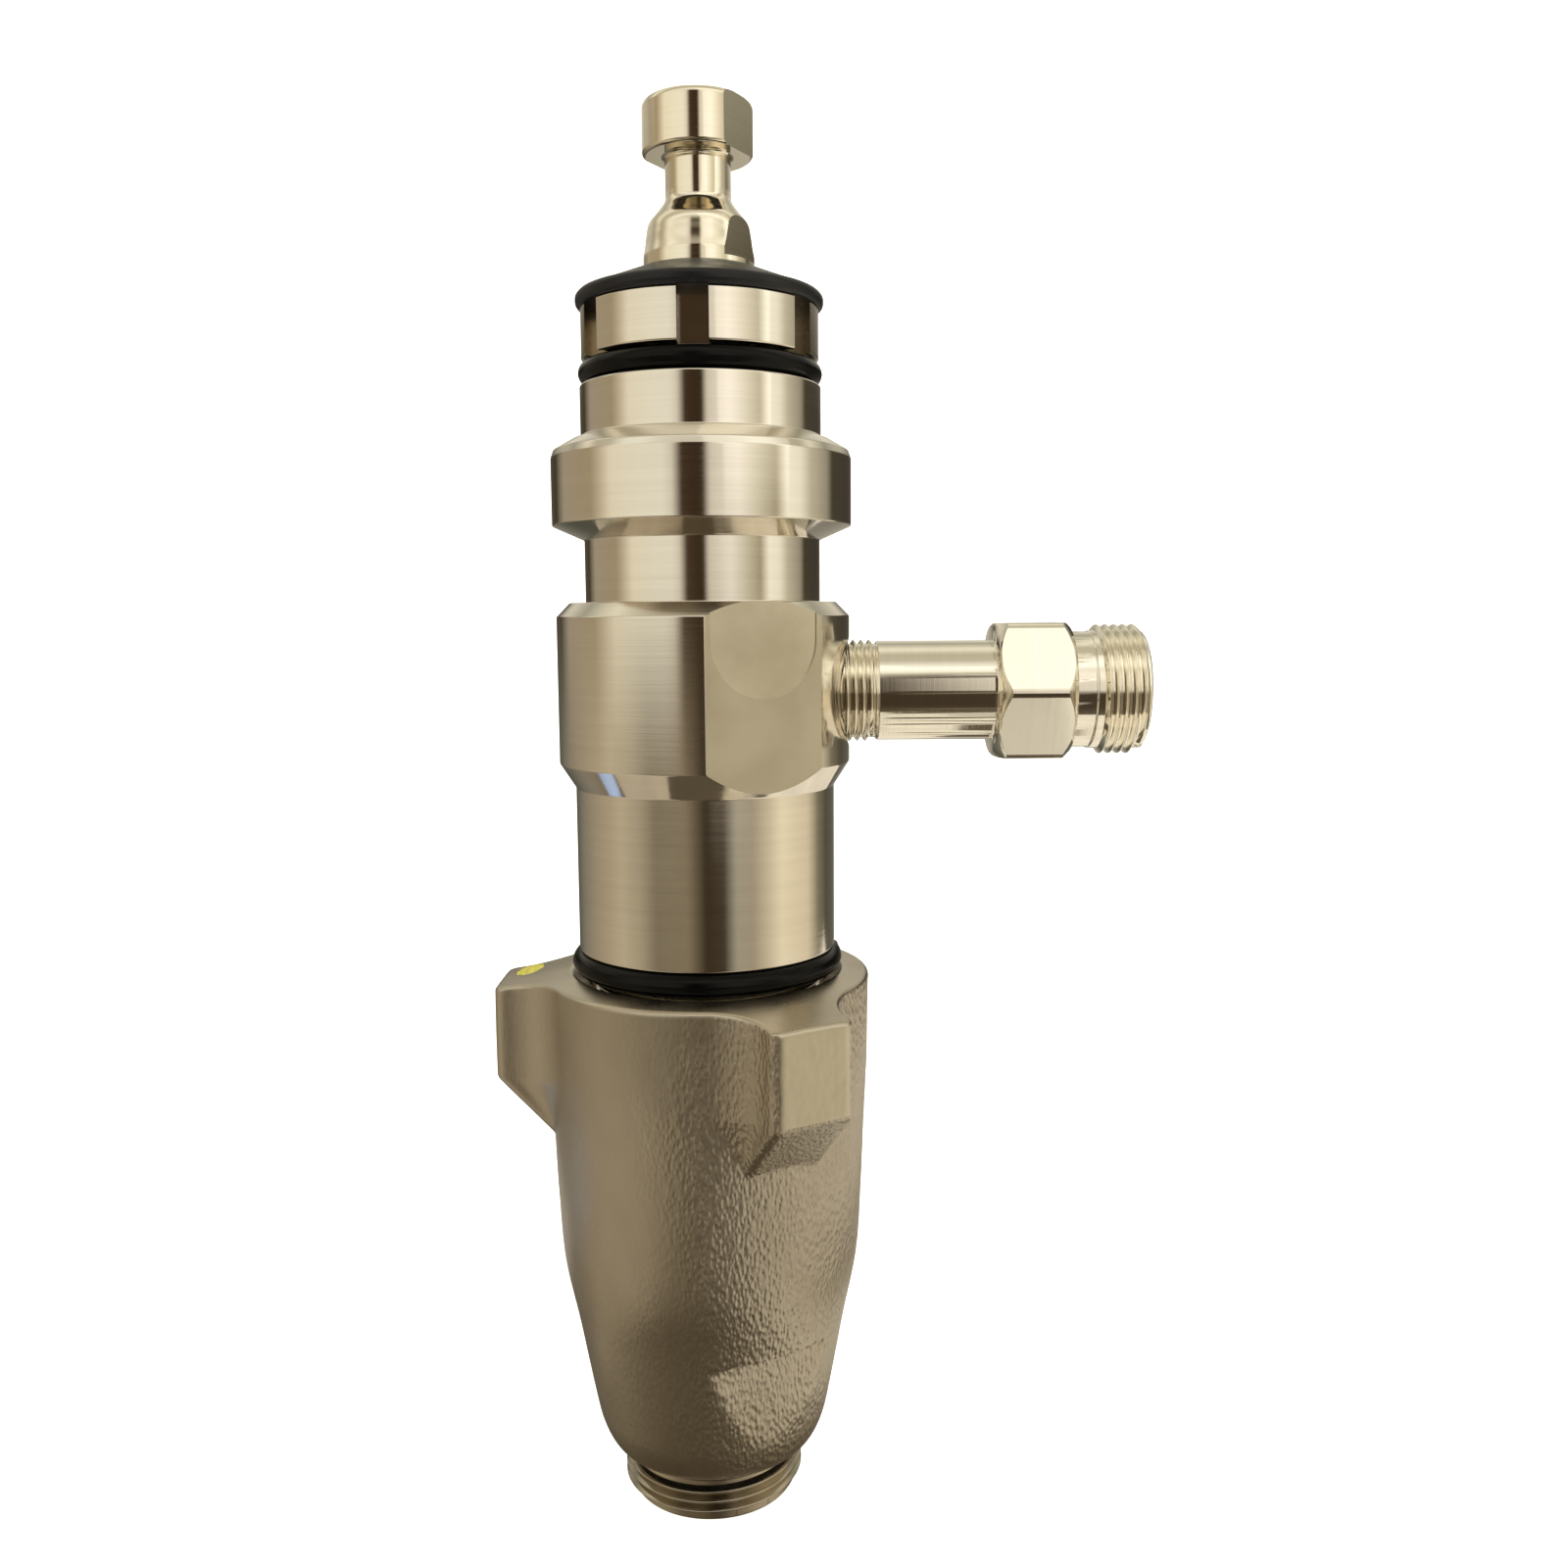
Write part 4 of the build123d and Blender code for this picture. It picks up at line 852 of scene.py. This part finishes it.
def packing_nut():
    outline = [
        (11.6, 214.05), (16.8, 214.05), (16.8, 217.4), (19.3, 217.4), (19.3, 229.4), (18.8, 229.6),
        (18.8, 236.4), (23.3, 236.4), (23.6, 236.7), (23.6, 246.1), (23.3, 246.4), (16.4, 246.4),
        (16.4, 227.0), (11.6, 227.0),
    ]
    piece = lathe("packing_nut", softened(outline, 0.2), TURNED)
    combine(piece, nut_head_slots())
    fit(piece, "packing_nut", "turned_stainless", "packing_nut")
    ridge = thread_ridge("nut_thread", 20.2, 19.25, 1.5, 217.6, 229.2, TURNED)
    return fit(ridge, "packing_nut", "turned_stainless")


def nut_cap():
    """Moulded cap over the nut's wet cup: a thin rim, a cone and a skirt."""
    outline = [
        (14.9, 241.0), (16.35, 241.0), (16.35, 246.4), (23.9, 246.4), (24.6, 247.1), (24.6, 248.5),
        (23.9, 249.2), (23.3, 249.25), (12.4, 253.6), (11.9, 253.8), (11.4, 253.4), (11.4, 251.6),
        (14.9, 249.6),
    ]
    piece = lathe("nut_cap", softened(outline, 0.45, steps=5), CAP_PLASTIC)
    return fit(piece, "packing_nut", "black_plastic", "nut_cap")


def seal(name, center, height, section, body):
    """A moulded O-ring with its fine parting flash inside and out."""
    outline = []
    for step in range(SEAL_STEPS):
        angle = 2 * math.pi * step / SEAL_STEPS
        flash = SEAL_FLASH if step in (0, SEAL_STEPS // 2) else 0.0
        radius = section + flash
        outline.append((center + radius * math.cos(angle), height + radius * math.sin(angle)))
    piece = lathe(name, outline, RUBBER, sharp=60)
    return fit(piece, body, "black_rubber", name)


# ---------------------------------------------------------------- outlet nipple

NIPPLE_STEPS = 160
HEXAGON_ACROSS = 27.2
HEXAGON_ROUNDING = 1.3


def outlet_nipple():
    """Port thread, tube, hexagon, neck and hose thread, turned about the outlet's axis."""
    outline = [
        (5.0, 17.5), (9.3, 17.5), (9.55, 17.8), (9.55, 34.8), (10.15, 35.2), (10.15, 66.0), (11.8, 66.0),
        (11.8, 78.2), (12.07, 78.4), (12.07, 88.8), (11.6, 89.2), (8.2, 89.2), (5.0, 84.2),
    ]
    piece = lathe("outlet_nipple", softened(outline, 0.25), NIPPLE, NIPPLE_STEPS)
    cones = solid_lathe("cones", [
        (0, 58.7), (13.1, 58.7), (15.7, 61.3), (15.7, 71.6), (13.1, 74.2), (0, 74.2),
    ], NIPPLE, NIPPLE_STEPS)
    corner = HEXAGON_ACROSS / math.sqrt(3)
    corners = []
    for height in (58.0, 75.0):
        for number in range(6):
            angle = math.radians(30 + 60 * number) + math.pi / 3
            corners.append((corner * math.cos(angle), corner * math.sin(angle), height))
    faces = [tuple(reversed(range(6))), tuple(range(6, 12))]
    faces += [(n, (n + 1) % 6, 6 + (n + 1) % 6, 6 + n) for n in range(6)]
    hexagon = make_piece("hexagon", corners, faces, NIPPLE)
    rounding = hexagon.modifiers.new("rounding", "BEVEL")
    rounding.width = HEXAGON_ROUNDING * MM
    rounding.segments = 5
    bake_modifiers(hexagon)
    combine(hexagon, [cones], "INTERSECT")
    hole = solid_lathe("hole", [(0, 50), (7.5, 50), (7.5, 80), (0, 80)], NIPPLE, 64)
    combine(hexagon, [hole])
    combine(piece, [hexagon], "UNION")
    fit(lay_along_outlet(piece), "cylinder", "turned_stainless", "outlet_nipple")
    hose = thread_ridge("hose_thread", 13.22, 12.07, 1.814, 78.4, 89.0, NIPPLE)
    port = thread_ridge("port_thread", 10.4, 9.5, 1.6, 17.8, 35.2, NIPPLE)
    for ridge in (hose, port):
        fit(lay_along_outlet(ridge), "cylinder", "turned_stainless")
    return piece


# ---------------------------------------------------------------- inner pieces kept from CAD

SLOT_MATERIALS = {
    "turned_stainless": TURNED,
    "polished_rod": POLISHED,
    "cast_stainless": FACED,
    "black_plastic": CAP_PLASTIC,
    "black_rubber": RUBBER,
    "carbide": CARBIDE,
    "packing_leather": LEATHER,
    "packing_plastic": WAXY_PLASTIC,
}


def finish_inner_nodes():
    """Each CAD node that still shows gets the procedural material of its slot in the record."""
    for part in frame["record"]["subparts"]:
        piece = frame["nodes"][part["node"]]
        if piece.hide_render:
            continue
        piece.data.materials.clear()
        piece.data.materials.append(SLOT_MATERIALS[part["material_slot"]])


# ---------------------------------------------------------------- studio and camera

# The studio as azimuth round the object, then its brightness there in red, green and blue: at eye level,
# and in the strip below it that the lower half of the object mirrors.
EYE_LEVEL = [
    (-180, (0.60, 0.56, 0.46)), (-164, (0.09, 0.08, 0.06)), (-140, (0.06, 0.05, 0.03)),
    (-124, (0.40, 0.34, 0.26)), (-88, (0.40, 0.33, 0.21)), (-80, (0.58, 0.49, 0.36)),
    (-68, (0.92, 0.84, 0.67)), (-44, (0.95, 0.91, 0.76)), (-26, (0.95, 0.92, 0.80)),
    (-19, (0.82, 0.76, 0.64)), (-12, (0.06, 0.035, 0.02)), (4, (0.04, 0.025, 0.012)),
    (9, (0.80, 0.73, 0.62)), (30, (1.02, 0.96, 0.86)), (46, (0.70, 0.65, 0.50)),
    (60, (0.42, 0.37, 0.24)), (70, (1.12, 1.08, 0.92)), (82, (1.05, 1.00, 0.84)),
    (93, (0.62, 0.57, 0.44)), (112, (0.36, 0.33, 0.25)), (119, (0.07, 0.06, 0.04)),
    (150, (0.06, 0.05, 0.04)), (164, (0.08, 0.07, 0.06)), (180, (0.60, 0.56, 0.46)),
]
BELOW_EYE_LEVEL = [
    (-180, (0.50, 0.46, 0.38)), (-160, (0.08, 0.08, 0.06)), (-138, (0.22, 0.20, 0.16)),
    (-118, (0.34, 0.29, 0.21)), (-92, (0.48, 0.40, 0.28)), (-76, (0.56, 0.48, 0.34)),
    (-58, (0.44, 0.38, 0.27)), (-42, (0.24, 0.20, 0.14)), (-14, (0.26, 0.21, 0.14)),
    (2, (0.05, 0.035, 0.02)), (18, (0.06, 0.045, 0.03)), (29, (0.42, 0.38, 0.30)),
    (44, (0.42, 0.36, 0.27)), (72, (0.95, 0.84, 0.62)), (104, (0.78, 0.68, 0.50)), (120, (0.24, 0.21, 0.15)),
    (136, (0.10, 0.09, 0.06)), (160, (0.14, 0.13, 0.11)), (180, (0.50, 0.46, 0.38)),
]
# Overhead, from the horizon in front (0) across the zenith (90) to the horizon behind (180).
OVERHEAD = [
    (0, (0.92, 0.86, 0.72)), (26, (0.90, 0.84, 0.70)), (40, (0.66, 0.61, 0.48)), (52, (1.02, 1.00, 0.88)),
    (60, (0.98, 0.96, 0.84)), (74, (0.60, 0.55, 0.43)), (92, (0.56, 0.51, 0.39)), (110, (0.95, 0.89, 0.72)),
    (136, (0.42, 0.40, 0.32)), (160, (0.80, 0.75, 0.62)), (180, (0.70, 0.66, 0.54)),
]
UNDERFOOT = (0.11, 0.085, 0.055)


def sine(elevation):
    return math.sin(math.radians(elevation))


def studio_light():
    """A wrap-round studio of soft vertical strips, which the polished metal mirrors."""
    studio = bpy.data.worlds.new("studio")
    bpy.context.scene.world = studio
    studio.use_nodes = True
    world = NodeTree(studio.node_tree)
    direction = world.nodes.new("ShaderNodeTexCoord")
    split = world.nodes.new("ShaderNodeSeparateXYZ")
    world.links.new(direction.outputs["Generated"], split.inputs["Vector"])
    height = split.outputs["Z"]
    forward = world.calculate("MULTIPLY", split.outputs["Y"], -1)
    azimuth = world.calculate("ARCTAN2", split.outputs["X"], forward)
    round_share = world.spread(azimuth, -math.pi, math.pi)
    eye_level, below = (
        world.ramp(round_share, [((turn + 180) / 360, color) for turn, color in strips])
        for strips in (EYE_LEVEL, BELOW_EYE_LEVEL)
    )
    arch = world.calculate("ARCTAN2", height, forward)
    arch_share = world.spread(arch, 0.0, math.pi)
    overhead = world.ramp(arch_share, [(turn / 180, color) for turn, color in OVERHEAD])
    light = world.mix(world.spread(height, sine(-7), sine(2), smooth=True), below, eye_level)
    # The overhead light comes lower down behind the object than in front of it.
    lean = world.calculate("ADD", world.calculate("MULTIPLY", split.outputs["Y"], 0.2), height)
    light = world.mix(world.spread(lean, 0.30, 0.56, smooth=True), light, overhead)
    light = world.mix(world.spread(height, sine(-30), sine(-52), smooth=True), light, UNDERFOOT)
    world.links.new(light, world.nodes["Background"].inputs["Color"])


# Cards on the floor, in metres: two opposite corners, the colour and the strength.
CARD_HEIGHT = 0.0005
WARM = (0.98, 0.90, 0.74)
CARDS = {
    "near_card": ((0.072, -0.155), (0.11, -0.045), WARM, 0.68),
    "side_card": ((0.045, -0.155), (0.072, 0.34), WARM, 1.05),
    "right_card": ((0.11, -0.155), (0.42, 0.34), WARM, 1.05),
    "left_card": ((-0.32, -0.17), (-0.06, 0.005), (0.64, 0.55, 0.41), 0.95),
    "far_left_card": ((-0.14, 0.07), (-0.05, 0.20), (0.95, 0.90, 0.80), 0.8),
    "blue_card": ((-0.19, 0.01), (-0.15, 0.06), (0.52, 0.66, 0.98), 1.0),
}


def reflector(name, low, high, color, strength):
    """A glowing card lying on the floor, which only shows mirrored in the metal."""
    (x0, y0), (x1, y1) = low, high
    corners = [(x, y, CARD_HEIGHT) for x, y in ((x0, y0), (x1, y0), (x1, y1), (x0, y1))]
    mesh = bpy.data.meshes.new(name)
    mesh.from_pydata(corners, [], [(0, 1, 2, 3)])
    card = bpy.data.objects.new(name, mesh)
    bpy.context.collection.objects.link(card)
    shader = Shader(name, (0.0, 0.0, 0.0), 1.0)
    patches = shader.noise(14, detail=3.0)
    dim = tuple(0.8 * part for part in color)
    shader.set("Emission Color", shader.mix(shader.spread(patches, 0.35, 0.65), dim, color))
    shader.surface.inputs["Emission Strength"].default_value = strength
    mesh.materials.append(shader.material)
    card.visible_camera = False
    card.visible_diffuse = False
    card.visible_shadow = False


def backdrop():
    """A pale floor that curves up into a wall behind; the metal mirrors the studio instead of it."""
    width, front, behind, rise, sweep = 3.0, -1.6, 0.9, 1.8, 0.35
    outline = [(front, 0.0)]
    for step in range(17):
        turn = math.pi / 2 * step / 16
        outline.append((behind - sweep + sweep * math.sin(turn), sweep - sweep * math.cos(turn)))
    outline.append((behind, rise))
    vertices = [(side * width / 2, y, z) for y, z in outline for side in (-1, 1)]
    faces = [(2 * n, 2 * n + 1, 2 * n + 3, 2 * n + 2) for n in range(len(outline) - 1)]
    mesh = bpy.data.meshes.new("backdrop")
    mesh.from_pydata(vertices, [], faces)
    mesh.polygons.foreach_set("use_smooth", [True] * len(mesh.polygons))
    sheet = bpy.data.objects.new("backdrop", mesh)
    bpy.context.collection.objects.link(sheet)
    shader = Shader("backdrop_paper", (0.93, 0.93, 0.92), 0.9)
    tooth = shader.noise(900, detail=3.0)
    shader.bump(tooth, 0.05, 0.05)
    shader.surface.inputs["Emission Color"].default_value = (1, 1, 0.99, 1)
    shader.surface.inputs["Emission Strength"].default_value = 0.78
    mesh.materials.append(shader.material)
    sheet.visible_glossy = False


def area_light(name, place, aim, size, power, color):
    lamp = bpy.data.lights.new(name, "AREA")
    lamp.shape = "RECTANGLE"
    lamp.size, lamp.size_y = size
    lamp.energy = power
    lamp.color = color
    holder = bpy.data.objects.new(name, lamp)
    holder.location = place
    holder.rotation_mode = "QUATERNION"
    holder.rotation_quaternion = (Vector(aim) - Vector(place)).to_track_quat("-Z", "Y")
    bpy.context.collection.objects.link(holder)


# The camera: focal length in millimetres, place in metres, and its tilt and roll in degrees.
LENS = 32.13
SENSOR_WIDTH = 36
CAMERA_PLACE = (0.0162, -0.2877, 0.186)
CAMERA_TILT = -6.83
CAMERA_ROLL = -0.356


def camera():
    lens = bpy.data.cameras.new("camera")
    lens.lens = LENS
    lens.sensor_width = SENSOR_WIDTH
    lens.clip_start = 0.01
    holder = bpy.data.objects.new("camera", lens)
    holder.location = CAMERA_PLACE
    tilt = Matrix.Rotation(math.radians(90 + CAMERA_TILT), 4, "X")
    roll = Matrix.Rotation(math.radians(CAMERA_ROLL), 4, "Z")
    holder.rotation_euler = (tilt @ roll).to_euler()
    bpy.context.collection.objects.link(holder)
    bpy.context.scene.camera = holder


camera()
bpy.context.scene.view_settings.view_transform = "Standard"
studio_light()
backdrop()
for card_name, card_values in CARDS.items():
    reflector(card_name, *card_values)
area_light("key", (0.9, -0.9, 1.1), (0, 0, 0.15), (1.7, 1.8), 2.5, (1.0, 0.96, 0.88))

pump_cylinder()
intake_housing()
paint_dab()
displacement_rod()
packing_nut()
nut_cap()
seal("collar_o_ring", 22.1, 233.85, 2.2, "cylinder")
seal("housing_o_ring", 25.65, 115.65, 2.35, "cylinder")
outlet_nipple()
spigot_ridge = thread_ridge("spigot_thread", 25.0, 24.0, 1.5, 95.3, 110.4, TURNED)
fit(spigot_ridge, "cylinder", "turned_stainless")
finish_inner_nodes()
